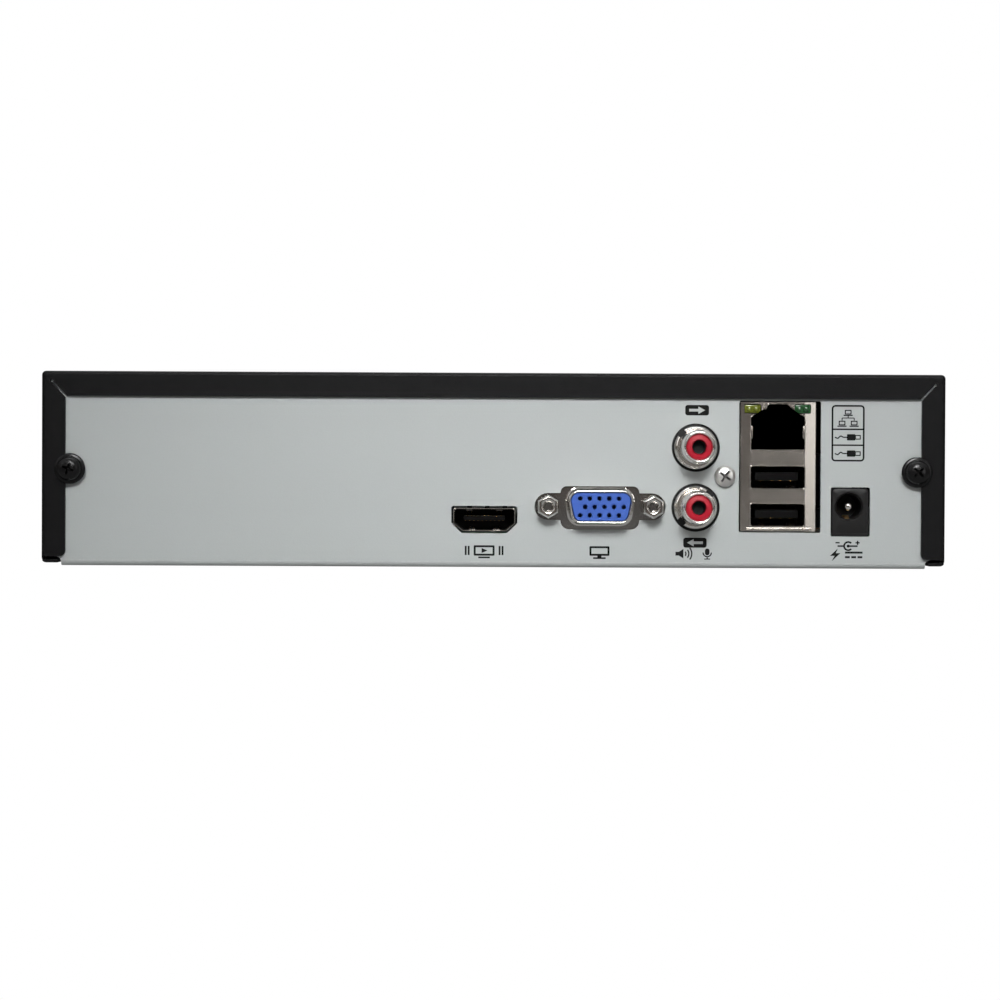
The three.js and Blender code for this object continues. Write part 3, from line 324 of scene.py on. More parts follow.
def lathe(bm, axis, at, profile, steps=48):
    start = [bm.verts.new(PLACE[axis](at[0] + radius, at[1], along)) for radius, along in profile]
    edges = [bm.edges.new(pair) for pair in zip(start, start[1:])]
    bmesh.ops.spin(bm, geom=start + edges, cent=PLACE[axis](*at, 0), axis=PLACE[axis](0, 0, 1),
                   angle=2 * math.pi, steps=steps, use_merge=True)
    bmesh.ops.remove_doubles(bm, verts=bm.verts[:], dist=1e-5)


def loft(bm, axis, rings, caps=(False, False)):
    loops = [ring(bm, axis, points, along) for points, along in rings]
    for (_, near), (_, far) in zip(loops, loops[1:]):
        bmesh.ops.bridge_loops(bm, edges=near + far)
    for wanted, (verts, _) in zip(caps, (loops[0], loops[-1])):
        if wanted:
            bm.faces.new(verts)


def round_edges(bm, edges, radius, steps):
    bmesh.ops.bevel(bm, geom=edges, offset=radius, offset_type="OFFSET", segments=steps, profile=0.5,
                    affect="EDGES", material=-1)


def block(bm, low, high, radius=0, steps=2):
    size, centre = Vector(high) - Vector(low), (Vector(high) + Vector(low)) / 2
    made = bmesh.ops.create_cube(bm, size=1,
                                 matrix=Matrix.Translation(centre) @ Matrix.Diagonal((*size, 1)))
    if radius:
        round_edges(bm, list({e for v in made["verts"] for e in v.link_edges}), radius, steps)


def new(shape, *values):
    """A bmesh with one shape in it."""
    bm = bmesh.new()
    shape(bm, *values)
    return bm


# %% [markdown]
# A punched or moulded shape is easier to say as one solid less another. Blender's Boolean modifier
# does that, and its result goes straight back into a bmesh.

# %% Carving
def carve(bm, cutter):
    """Takes the closed shapes in cutter out of the closed shape in bm."""
    objects = []
    for made in (bm, cutter):
        bmesh.ops.remove_doubles(made, verts=made.verts[:], dist=1e-5)
        bmesh.ops.recalc_face_normals(made, faces=made.faces[:])
        mesh = bpy.data.meshes.new("carve")
        made.to_mesh(mesh)
        objects.append(bpy.data.objects.new("carve", mesh))
        bpy.context.scene.collection.objects.link(objects[-1])
        made.free()
    body, tool = objects
    modifier = body.modifiers.new("carve", "BOOLEAN")
    modifier.operation, modifier.solver, modifier.object = "DIFFERENCE", "EXACT", tool
    graph = bpy.context.evaluated_depsgraph_get()
    result = bmesh.new()
    result.from_mesh(body.evaluated_get(graph).to_mesh())
    for obj in objects:
        mesh = obj.data
        bpy.data.objects.remove(obj)
        bpy.data.meshes.remove(mesh)
    return result


# %% [markdown]
# ## Finishes
# Three effects are shared by many materials, so each is a node group. The first is a fine grain with
# slow clouds in it, for powder coat, cast metal and moulded plastic: nothing made is quite even.

# %% A group for grain
def node_group(name, sockets_in, sockets_out):
    group = bpy.data.node_groups.new(name, "ShaderNodeTree")
    for label, kind, value in sockets_in:
        socket = group.interface.new_socket(label, in_out="INPUT", socket_type=kind)
        socket.default_value = value
    for label, kind in sockets_out:
        group.interface.new_socket(label, in_out="OUTPUT", socket_type=kind)
    return group, group.nodes.new("NodeGroupInput"), group.nodes.new("NodeGroupOutput")


FLOAT = "NodeSocketFloat"
grain, grain_in, grain_out = node_group(
    "fine_grain",
    [("Size mm", FLOAT, 0.4), ("Contrast", FLOAT, 0.1), ("Cloud mm", FLOAT, 40.0), ("Cloud", FLOAT, 0.1)],
    [("Height", FLOAT), ("Tone", FLOAT), ("Cloud", FLOAT)],
)
where = put(grain, "ShaderNodeTexCoord").outputs["Object"]


def noise_tone(size, amount, detail):
    """Noise of the group's own size, and that noise as a tone about 1."""
    scale = maths(grain, "DIVIDE", 1 / MM, grain_in.outputs[size])
    noise = put(grain, "ShaderNodeTexNoise", {"Vector": where, "Scale": scale, "Detail": detail}).outputs[0]
    centred = maths(grain, "SUBTRACT", noise, 0.5)
    return noise, maths(grain, "MULTIPLY_ADD", centred, grain_in.outputs[amount], 1.0)


fine, tone = noise_tone("Size mm", "Contrast", 2.0)
_, shade = noise_tone("Cloud mm", "Cloud", 3.0)
for result, value in (("Height", fine), ("Tone", tone), ("Cloud", shade)):
    grain.links.new(value, grain_out.inputs[result])

# %% [markdown]
# Paint wears through first along the rims. The Bevel node smooths the normal near an edge, so where
# it disagrees with the true normal there is an edge, and a speckle breaks up the wear.

# %% A group for worn edges
edge, edge_in, edge_out = node_group("worn_edge", [("Width mm", FLOAT, 0.2), ("Amount", FLOAT, 0.5)],
                                     [("Mask", FLOAT)])
reach = maths(edge, "MULTIPLY", edge_in.outputs["Width mm"], MM)
smoothed = put(edge, "ShaderNodeBevel", {"Radius": reach}, samples=4).outputs[0]
true_normal = put(edge, "ShaderNodeNewGeometry").outputs["Normal"]
agreement = put(edge, "ShaderNodeVectorMath", {0: smoothed, 1: true_normal}, operation="DOT_PRODUCT")
turned_away = between(edge, agreement.outputs["Value"], 0.99, 0.85, 0.0, 1.0)
where = put(edge, "ShaderNodeTexCoord").outputs["Object"]
speckle = put(edge, "ShaderNodeTexNoise", {"Vector": where, "Scale": 900.0, "Detail": 3.0}).outputs[0]
worn = maths(edge, "MULTIPLY", turned_away, between(edge, speckle, 0.4, 0.65, 0.2, 1.0))
edge.links.new(maths(edge, "MULTIPLY", worn, edge_in.outputs["Amount"]), edge_out.inputs["Mask"])

# %% [markdown]
# This group paints shade: a crevice gets little light, and its colour is darkened further than the lamps
# alone make it. Ambient Occlusion measures how shut in a point is, and the group turns that into a
# darkening tone.

# %% A group that paints shade into crevices
shade_painter, shade_painter_in, shade_painter_out = node_group(
    "painted_crevice_shade", [("Amount", FLOAT, 0.7), ("Reach mm", FLOAT, 1.6)], [("Tone", FLOAT)])
reach = maths(shade_painter, "MULTIPLY", shade_painter_in.outputs["Reach mm"], MM)
openness = put(shade_painter, "ShaderNodeAmbientOcclusion", {"Distance": reach}, samples=6)
lost = between(shade_painter, openness.outputs["AO"], 0.25, 0.8, 1.0, 0.0)
dimmed = maths(shade_painter, "MULTIPLY", lost, shade_painter_in.outputs["Amount"])
shade_painter.links.new(maths(shade_painter, "SUBTRACT", 1.0, dimmed), shade_painter_out.inputs["Tone"])
print("groups", [g.name for g in bpy.data.node_groups])


# %% [markdown]
# Most finishes differ only in colour, gloss, grain, what shows where they are rubbed and how much shade is
# painted into their crevices. One function wires those into a Principled shader. Values that are the same
# all over are set on the shader itself; only what changes over the surface goes through nodes.

# %% A finish from its values
def finish(name, colour, rough, metallic=0.0, grain_mm=0.4, contrast=0.1, bump=0.0, cloud_mm=40.0,
           cloudy=0.06, worn_colour=None, worn_amount=0.5, worn_width=0.25, coat=0.0, coat_rough=0.1,
           specular=0.5, painted_shade=0.0, painted_shade_mm=1.6):
    material = new_material(name)
    tree = material.node_tree
    shader = tree.nodes["Principled BSDF"]
    for socket, value in (("Metallic", metallic), ("Coat Weight", coat), ("Coat Roughness", coat_rough),
                          ("Specular IOR Level", specular)):
        shader.inputs[socket].default_value = value
    values = {"Size mm": grain_mm, "Contrast": contrast, "Cloud mm": cloud_mm, "Cloud": cloudy}
    texture = put(tree, "ShaderNodeGroup", values, node_tree=grain)
    base = scaled(tree, colour, maths(tree, "MULTIPLY", texture.outputs["Tone"], texture.outputs["Cloud"]))
    if worn_colour:
        rubbed = put(tree, "ShaderNodeGroup", {"Width mm": worn_width, "Amount": worn_amount},
                     node_tree=edge)
        base = blended(tree, rubbed.outputs[0], base, worn_colour)
    # Painted shade: the colour is darkened in crevices by the group above.
    if painted_shade:
        shaded = put(tree, "ShaderNodeGroup", {"Amount": painted_shade, "Reach mm": painted_shade_mm},
                     node_tree=shade_painter)
        base = scaled(tree, base, shaded.outputs[0])
    tree.links.new(base, shader.inputs["Base Color"])
    tree.links.new(maths(tree, "MULTIPLY", texture.outputs["Cloud"], rough), shader.inputs["Roughness"])
    if bump:
        raised = put(tree, "ShaderNodeBump", {"Height": texture.outputs["Height"], "Strength": bump,
                                              "Distance": grain_mm * MM * 0.2})
        tree.links.new(raised.outputs[0], shader.inputs["Normal"])
    return material


# %% [markdown]
# Colours are linear, so they look smaller than the numbers a paint program shows. The order is
# colour, roughness and metallic; the rest is named.

# %% The finishes of this recorder
# Several finishes below get painted shade, their colour darkened in crevices and hollows: the plating, tin,
# steel, screws, the blue insulator and the parts deep in the sockets.
black_paint = finish("black_powder_coat", (0.0026, 0.0026, 0.003), 0.5, grain_mm=0.35, contrast=0.4,
                     bump=0.4, worn_colour=(0.03, 0.03, 0.03), worn_amount=0.4, specular=0.115)
grey_paint = finish("grey_satin_paint", (0.345, 0.365, 0.361), 0.42, grain_mm=0.3, contrast=0.05, bump=0.25,
                    cloud_mm=60, cloudy=0.02, worn_colour=(0.62, 0.62, 0.6), worn_amount=0.35)
chrome = finish("bright_nickel_plating", (0.74, 0.72, 0.69), 0.11, 1.0, grain_mm=0.5, contrast=0.04,
                bump=0.006, cloud_mm=6, cloudy=0.1, painted_shade=0.4, painted_shade_mm=1.2)
barrel_nickel = finish("polished_barrel_plating", (0.82, 0.8, 0.77), 0.16, 1.0, grain_mm=0.5, contrast=0.0,
                       cloud_mm=12, cloudy=0.03)
# Painted shade: the tin's colour is darkened strongly wherever it is shut in, inside the mouths and round
# the sockets.
tin = finish("brushed_tin_plate", (0.47, 0.44, 0.4), 0.24, 1.0, grain_mm=0.14, contrast=0.35, bump=0.35,
             cloud_mm=9, cloudy=0.25, painted_shade=0.97, painted_shade_mm=5)
steel = finish("zinc_plated_steel", (0.68, 0.67, 0.65), 0.32, 1.0, grain_mm=0.2, contrast=0.12, bump=0.1,
               painted_shade=0.8)
black_steel = finish("black_oxide_steel", (0.0035, 0.0035, 0.0037), 0.26, 0.1, grain_mm=0.2, contrast=0.3,
                     bump=0.1, worn_colour=(0.05, 0.05, 0.05), worn_amount=0.25, specular=0.3, painted_shade=0.9)
gold = finish("gold_plated_contact", (0.83, 0.6, 0.28), 0.25, 1.0, grain_mm=0.2, contrast=0.1)
# Painted shade: gold deep in the network socket gets a far darker colour than the gold above, for the shade
# it lies in.
shaded_gold = finish("gold_darkened_by_painted_shade", (0.05, 0.035, 0.018), 0.35, 1.0, grain_mm=0.2, contrast=0.1,
                     painted_shade=0.9, painted_shade_mm=4)
brass = finish("brass_spring", (0.7, 0.5, 0.25), 0.3, 1.0, grain_mm=0.2, contrast=0.2, bump=0.1)
black_plastic = finish("black_moulded_plastic", (0.0068, 0.0068, 0.0068), 0.42, grain_mm=0.12, contrast=0.2,
                       bump=0.2, worn_colour=(0.03, 0.03, 0.03), worn_amount=0.4, specular=0.22)
# Painted shade: the mouldings inside the sockets are black plastic made darker still for the shade they lie
# in, with more shade painted in their hollows.
shade_darkened_black = finish("black_moulding_darkened_by_painted_shade", (0.002, 0.002, 0.002), 0.5, grain_mm=0.12, contrast=0.2,
                    bump=0.1, specular=0.06, painted_shade=0.7)
blue_plastic = finish("blue_moulded_plastic", (0.021, 0.079, 0.36), 0.42, grain_mm=0.15, contrast=0.08,
                      bump=0.1, painted_shade=0.8)
red_plastic = finish("red_moulded_plastic", (0.33, 0.005, 0.017), 0.5, grain_mm=0.2, contrast=0.08,
                     bump=0.08, specular=0.3)
yellow_lens = finish("yellow_tinted_lens", (0.1, 0.12, 0.008), 0.15, grain_mm=0.4, contrast=0.3, coat=0.6)
green_lens = finish("green_tinted_lens", (0.012, 0.062, 0.018), 0.15, grain_mm=0.4, contrast=0.3, coat=0.6)
ink = finish("dark_screen_print", (0.003, 0.0032, 0.0032), 0.55, grain_mm=0.08, contrast=0.5, bump=0.15,
             specular=0.1)


# %% [markdown]
# ## The cover
# The cover is one sheet, folded down at both sides, turned under along the bottom, and turned in at
# the rear to make a frame round the panel. Folding it face by face in code is slow to write, so it is
# carved from a solid with its bends already round: the room inside, the opening between the rear
# flanges, the mitred corners with their relief holes, the screw notches and the side vents.

# %% Fold the cover
BEND, MITRE = 1.0, 0.55
HEM, HEM_Z = 3.8, cover_low.z
SIDE_FLANGE, TOP_FLANGE, FLANGE_FOOT = 5.7, 5.95, 2.2
SCREW_X = middle("cover_screw_left").x - 1.1  # a little nearer the middle, on the flange's edge
SCREW_Z = middle("cover_screw_left").z
inner_x, inner_z = half_width - SIDE_FLANGE, top_z - TOP_FLANGE

shell = outline([(-half_width, HEM_Z, 1.3), (half_width, HEM_Z, 1.3), (half_width, top_z, BEND),
                 (-half_width, top_z, BEND)], 8)
folded = new(slab, "Y", [shell], (front_edge, rear_y))
bmesh.ops.remove_doubles(folded, verts=folded.verts[:], dist=1e-4)
rear_bend = [e for e in folded.edges
             if all(v.co.y > rear_y - 0.01 and v.co.z > HEM_Z + 0.5 for v in e.verts)]
round_edges(folded, rear_bend, BEND * 0.9, 6)
inside_x, inside_low, inside_top = half_width - SHEET, HEM_Z + SHEET, top_z - SHEET
room = outline([(-inside_x, inside_low, 0.5), (inside_x, inside_low, 0.5), (inside_x, inside_top, 0.25),
                (-inside_x, inside_top, 0.25)])
folded = carve(folded, new(slab, "Y", [room], (front_edge - 1, rear_y - SHEET)))
open_x = half_width - HEM
open_below = new(block, (-open_x, front_edge - 1, -1), (open_x, rear_y + 1, inside_low + 0.5))
folded = carve(folded, open_below)

# %% [markdown]
# At the rear the flanges meet in a mitre. A small round relief at its foot keeps the sheet from
# tearing as it folds, and a half-round notch in each side flange clears the cover's screw.

# %% Open the rear frame and the vents
corner = Vector((half_width - 2.4, top_z - 2.4))
half_gap = MITRE / math.sqrt(2)
notch = [Vector((SCREW_X, SCREW_Z)) + Matrix.Rotation(math.radians(i * 18 - 90), 2) @ Vector((1.8, 0))
         for i in range(11)]
relief = [corner + Matrix.Rotation(math.radians(45 - 150 + i * 20), 2) @ Vector((0.36, 0))
          for i in range(16)]
edge_x = half_width - 0.45
half_frame = [(edge_x, HEM_Z + SHEET), (edge_x, FLANGE_FOOT, 0.3), (inner_x, FLANGE_FOOT, 1.4),
              (inner_x, SCREW_Z - 1.8), *notch, (inner_x, SCREW_Z + 1.8),
              (inner_x, inner_z - half_gap), *relief, (inner_x - half_gap, inner_z)]
rear_opening = outline(both_sides(half_frame))
folded = carve(folded, new(slab, "Y", [rear_opening], (rear_y - SHEET - 0.5, rear_y + 1)))
vents = bmesh.new()
for side in (-1, 1):
    for i in range(12):
        slot = rectangle(-24 + (i - 5.5) * 6, SCREW_Z, 2.4, 20, 1.19, 8)
        slab(vents, "X", [slot], (side * (half_width - 2), side * (half_width + 2)))
folded = carve(folded, vents)
cover = piece(folded, "folded_cover", black_paint, "cover", "top_cover", crease=28)
print("cover", len(cover.data.polygons), "faces")

# %% [markdown]
# ## The tray and its rear panel
# The tray is a strip folded up at the front and the rear. Its rear wall is the panel, punched for
# each socket. A punched hole's edge is crisp but never quite sharp, so it gets a rim.

# %% Socket places
hdmi_at, vga_at = middle("hdmi_shell"), middle("vga_shell")
jack_x = middle("audio_barrel_out").x
out_z, in_z = middle("audio_barrel_out").z, middle("audio_barrel_in").z
tie_screw = middle("audio_jack_screw")
stack_low, stack_high = low_high("network_usb_shield")
power_low, power_high = low_high("power_jack_body")
board_top = low_high("main_board")[1].z
PANEL_BACK = 93.2


def moved(points, x, z):
    return [Vector((p[0] + x, p[1] + z)) for p in points]


def hdmi_outline(grow=0, steps=5):
    top, side, foot = 2.85 + grow, 7.5 + grow, 5.2 + grow * 0.6
    half = [(foot, -top, 0.7), (side, -0.85, 0.6), (side, top, 0.5)]
    return moved(outline(both_sides(half), steps), hdmi_at.x, hdmi_at.z)


def d_outline(grow=0, steps=6):
    half, slope = 3.95 + grow, math.tan(math.radians(10))
    top, foot = 8.15 + grow, 8.15 + grow - 7.9 * slope
    side = [(foot, -half, 2.3 + grow), (top, half, 2.5 + grow)]
    return moved(outline(both_sides(side), steps), vga_at.x, vga_at.z)


# %% Punch the panel
tray_half, panel_half, panel_top = 103.4, tray_high.x, tray_high.z
blank = [(tray_half, 1.3), (tray_half + 0.3, 1.8), (panel_half, FLANGE_FOOT + 0.8, 0.4),
         (panel_half, panel_top, 0.4)]
vga_hole = [(9.3, -5.5, 2.1), (9.5, -3.25, 0.12), (15.7, -3.25, 3.2), (15.7, 3.25, 3.2), (9.5, 3.25, 0.12),
            (9.3, 4.9, 1.5)]
punched = [
    hdmi_outline(0.4),
    moved(outline(both_sides(vga_hole)), vga_at.x, vga_at.z),
    circle(jack_x, out_z, 5.8, 56),
    circle(jack_x, in_z, 5.8, 56),
    circle(tie_screw.x, tie_screw.z, 1.75, 24),
    outline([(stack_low.x - 1.1, stack_low.z - 0.3, 0.5), (stack_high.x + 0.6, stack_low.z - 0.3, 0.5),
             (stack_high.x + 0.6, stack_high.z + 0.3, 0.5), (stack_low.x - 1.1, stack_high.z + 0.3, 0.5)]),
    outline([(power_low.x - 0.3, 7.7, 0.4), (power_high.x + 0.2, 7.7, 0.4), (power_high.x + 0.2, 19.5, 0.4),
             (power_low.x - 0.3, 19.5, 0.4)]),
    circle(SCREW_X, SCREW_Z, 1.7, 24),
    circle(-SCREW_X, SCREW_Z, 1.7, 24),
]
panel = new(slab, "Y", [outline(both_sides(blank))] + punched, (panel_y - SHEET, panel_y))
rear_panel = piece(panel, "rear_panel", grey_paint, replaces="chassis_tray", rim=0.07)
print("panel", len(rear_panel.data.polygons), "faces")

# %% [markdown]
# The floor, its side walls, the board's standoffs and the dimples that lift the drive are the rest of
# the tray. The floor's profile is drawn once, sheet and all, with an outer and an inner radius at
# each bend, and run across the width.

# %% Fold the floor
FRONT_Y = tray_low.y
inner_y, WALL_TOP = FRONT_Y + SHEET, 38
floor_profile = outline([(FRONT_Y, WALL_TOP), (FRONT_Y, 0, 1.3), (panel_y, 0, 1.3), (panel_y, 1.3),
                         (panel_y - SHEET, 1.3), (panel_y - SHEET, SHEET, 0.5), (inner_y, SHEET, 0.5),
                         (inner_y, WALL_TOP)], 8)
pan = new(slab, "X", [floor_profile], (-tray_half, tray_half))
HOOKS = [(x, z) for x in (-55, 55) for z in (8, 32)]
holes = bmesh.new()
drive_holes = [Vector((x, y)) for x in (7.72, -36.73) for y in (-75.83, 19.42)]
for at in drive_holes:
    slab(holes, "Z", [circle(at.x, at.y, 5.6, 40)], (-1, 2))
for x, z in HOOKS:
    slab(holes, "Y", [rectangle(x, z + 0.6, 8.6, 3.7, 0.4)], (FRONT_Y - 1, FRONT_Y + 2))
slab(holes, "Y", [rectangle(76, 19, 12, 5, 0.6)], (FRONT_Y - 1, FRONT_Y + 2))
pan = carve(pan, holes)
wall = [(FRONT_Y + 2.6, SHEET * 0.6), (panel_y - 2.6, SHEET * 0.6), (panel_y - 2.6, 14, 2),
        (FRONT_Y + 2.6, 14, 2)]
for side in (-1, 1):
    slab(pan, "X", [outline(wall)], (side * (tray_half - SHEET), side * tray_half))
dimple = [(5.6, 0.02), (4.9, 1.3), (4.2, 2.0), (1.9, 2.0), (1.9, 2.79), (4.6, 2.79), (5.5, 1.9),
          (6.9, 0.79)]
for at in drive_holes:
    lathe(pan, "Z", at, dimple, 40)
board_holes = [Vector((x, y)) for x, y in ((-91, 70.8), (91, 86.8), (-91, 34.8), (91, 34.8))]
for at in board_holes:
    lathe(pan, "Z", at, [(3.6, SHEET), (3.0, 1.6), (2.9, 6.3), (2.7, 6.6), (1.7, 6.6), (1.6, 1.0)], 24)
floor_pan = piece(pan, "floor_pan", grey_paint, crease=30)
print("floor", len(floor_pan.data.polygons), "faces")

# %% [markdown]
# ## Screws
# A machine screw is a lathe part: a domed head, a shank and a thread. The thread is drawn as rings,
# because at this size a helix looks the same. The cross recess is carved out of the head with two
# tapered wings and a cone, as the punch makes it.

# %% A cross-head screw
def cross_screw(name, axis, at, seat, head, recess, turn, material, tip, core, body="chassis", replaces=(),
                pitch=0.6):
    """A screw from its tip to seat, the bearing face. Its head is (radius, height) up to the crown."""
    way = 1 if seat > tip else -1
    profile = [(0, tip), (core * 0.7, tip), (core, tip + way * 0.6)]
    along = tip + way * 0.6
    while abs(seat - along) > pitch * 1.5:
        profile += [(core * 0.82, along + way * pitch * 0.5), (core, along + way * pitch)]
        along += way * pitch
    profile += [(core, seat)] + [(radius, seat + way * rise) for radius, rise in head]
    screw = new(lathe, axis, at, profile)
    crown = seat + way * head[-1][1]
    wing = ((recess * 0.4, recess * 0.13, -recess * 0.45), (recess * 0.98, recess * 0.17, -0.05),
            (recess * 1.15, recess * 0.18, 0.4))
    for angle in (turn, turn + math.pi / 2):
        spin = Matrix.Rotation(angle, 2)
        rings = [([at + spin @ p for p in rectangle(0, 0, long, wide)], crown + way * rise)
                 for long, wide, rise in wing]
        screw = carve(screw, new(loft, axis, rings, (True, True)))
    cone = [(0, crown - way * recess * 0.6), (recess * 0.17, crown - way * recess * 0.1),
            (recess * 0.2, crown + way * 0.3), (0, crown + way * 0.3)]
    screw = carve(screw, new(lathe, axis, at, cone, 16))
    return piece(screw, name, material, body, replaces, crease=35)


washer_head = [(3.5, 0), (3.68, 0.15), (3.68, 0.62), (3.52, 0.8), (2.95, 0.84), (2.88, 1.2), (2.75, 1.9),
               (2.3, 2.45), (1.5, 2.78), (0, 2.88)]
for node, x, turn in (("cover_screw_left", SCREW_X, 0.35), ("cover_screw_right", -SCREW_X, 0.78)):
    cross_screw(node + "_turned", "Y", Vector((x, SCREW_Z)), rear_y + 0.05, washer_head, 3.1, turn,
                black_steel, 88.1, 1.5, "cover", node)
pan_head = [(2.3, 0), (2.5, 0.2), (2.5, 0.75), (2.3, 1.2), (1.75, 1.5), (0, 1.62)]
cross_screw("jack_tie_screw", "Y", Vector((tie_screw.x, tie_screw.z)), panel_y + 0.04, pan_head, 3.3, 0.6,
            steel, 87.2, 1.45, "chassis", "audio_jack_screw")
print("screws made")

# %% [markdown]
# ## Video sockets
# A socket shell is thin sheet drawn round a die, so its outline is lofted: up the outside, over a
# small rolled lip and back down the inside. The tongue within carries rows of plated contacts.

# %% Digital video socket
hdmi_back, hdmi_face = (end.y for end in low_high("hdmi_shell"))
lip = [(-0.08, hdmi_back), (-0.08, hdmi_face - 0.12), (-0.16, hdmi_face), (-0.28, hdmi_face),
       (-0.36, hdmi_face - 0.12), (-0.38, hdmi_back + 0.3)]
shell = new(loft, "Y", [(hdmi_outline(grow), y) for grow, y in lip], (True, True))
piece(shell, "hdmi_rolled_shell", tin, replaces="hdmi_shell")
tongue = bmesh.new()
tongue_z = hdmi_at.z + 0.3
block(tongue, (hdmi_at.x - 4.95, 84, tongue_z - 0.55), (hdmi_at.x + 4.95, 93.2, tongue_z + 0.55), 0.12)
loft(tongue, "Y", [(hdmi_outline(-0.45), 84.1), (hdmi_outline(-0.45), 86.6)], (True, True))
piece(tongue, "hdmi_contact_tongue", shade_darkened_black, replaces="hdmi_tongue", rim=0.08)
contacts = bmesh.new()
for i in range(19):
    x, side = hdmi_at.x + (i - 9) * 0.5, 1 if i % 2 else -1
    z = tongue_z + side * 0.56
    block(contacts, (x - 0.15, 86.5, z - 0.05), (x + 0.15, 92.9, z + 0.05), 0.03, 1)
piece(contacts, "hdmi_contacts", gold)
springs = bmesh.new()
tab = [(hdmi_face - 0.5, 0.16), (hdmi_face - 1.6, -0.42), (hdmi_face - 5.5, 0.1), (hdmi_face - 5.5, 0.25),
       (hdmi_face - 1.6, -0.22), (hdmi_face - 0.5, 0.34)]
for x, z, way in ((-3.6, 2.05, -1), (3.6, 2.05, -1), (-2.9, -2.05, 1), (2.9, -2.05, 1)):
    x, z = hdmi_at.x + x, hdmi_at.z + z
    slab(springs, "X", [[(y, z - way * up) for y, up in tab]], (x - 0.75, x + 0.75))
piece(springs, "hdmi_spring_tabs", chrome)

# %% [markdown]
# The analogue socket's shell and its flange are drawn from one sheet, which sits behind the panel.
# The insulator is a moulding with fifteen holes; its rim is eased so that a plug finds its way in.

# %% Analogue video socket
vga_back, vga_face = PANEL_BACK, low_high("vga_shell")[1].y
nut_x = [middle(node).x for node in ("vga_jackscrew_left", "vga_jackscrew_right")]
shell = bmesh.new()
plate = rectangle(vga_at.x, vga_at.z, 30.8, 12.2, 1.6)
slab(shell, "Y", [plate, d_outline(0.7)] + [circle(x, vga_at.z, 1.6, 24) for x in nut_x],
     (vga_back - 0.5, vga_back))
lip = [(0.7, vga_back - 0.5), (0.7, vga_back), (0.32, vga_back + 0.08), (0.08, vga_back + 0.3),
       (0, vga_back + 0.7), (0, vga_face - 0.3), (-0.08, vga_face - 0.08), (-0.22, vga_face),
       (-0.4, vga_face - 0.06), (-0.48, vga_face - 0.25), (-0.5, vga_back - 0.4)]
loft(shell, "Y", [(d_outline(grow), y) for grow, y in lip])
piece(shell, "vga_drawn_shell", chrome, replaces="vga_shell")

insert = bmesh.new()
insert_face = low_high("vga_insert")[1].y
pins = [(vga_at.x + shift + (i - 2) * -2.3, vga_at.z + row)
        for row, shift in ((2.0, 0.36), (0, -0.8), (-2.0, 0.36)) for i in range(5)]
flat(insert, "Y", [d_outline(-0.72)] + [circle(x, z, 0.62, 20) for x, z in pins], insert_face)
loft(insert, "Y", [(d_outline(-0.72), insert_face), (d_outline(-0.6), insert_face - 0.12),
                   (d_outline(-0.6), vga_back - 0.3)], (False, True))
for x, z in pins:
    loft(insert, "Y", [(circle(x, z, 0.62, 20), insert_face), (circle(x, z, 0.52, 20), insert_face - 0.1),
                       (circle(x, z, 0.52, 20), insert_face - 4)], (False, True))
block(insert, (vga_at.x - 14.9, 81.7, vga_at.z - 6.0), (vga_at.x + 14.9, vga_back - 0.6, vga_at.z + 6.0),
      0.4)
piece(insert, "vga_insulator", blue_plastic, replaces="vga_insert", crease=25)

# %% [markdown]
# The plug's screws go into two hexagonal nuts. A bar is cut to length, its corners are eased at both
# ends, and the hole is tapped, so the thread shows as fine rings down the hole.

# %% Hexagonal jack nuts with a threaded hole
for node, x in zip(("vga_jackscrew_left", "vga_jackscrew_right"), nut_x):
    hexagon = [Vector((x + 2.83 * math.cos(a), vga_at.z + 2.83 * math.sin(a)))
               for a in (math.pi / 6 + i * math.pi / 3 for i in range(6))]
    centre = Vector((x, vga_at.z))
    smaller = [centre + (p - centre) * 0.86 for p in hexagon]
    nut = bmesh.new()
    face = low_high(node)[1].y
    loft(nut, "Y", [(smaller, vga_back + 0.1), (hexagon, vga_back + 0.5), (hexagon, face - 0.45),
                    (smaller, face)], (True, False))
    mouth = circle(x, vga_at.z, 1.5, 32)
    flat(nut, "Y", [smaller, mouth], face)
    thread = [(1.5, face), (1.25, face - 0.3)]
    for i in range(7):
        thread += [(1.02, face - 0.55 - i * 0.5), (1.25, face - 0.8 - i * 0.5)]
    loft(nut, "Y", [(circle(x, vga_at.z, radius, 32), y) for radius, y in thread], (False, True))
    piece(nut, node + "_nut", chrome, replaces=node, rim=0.1)
print("video sockets made")

# %% [markdown]
# ## Audio sockets
# Each is a plated barrel turned from tube, with a flange notched where the moulding grips it and a
# red ring inside that shows which channel it is. Both stand on one black moulding behind the panel.

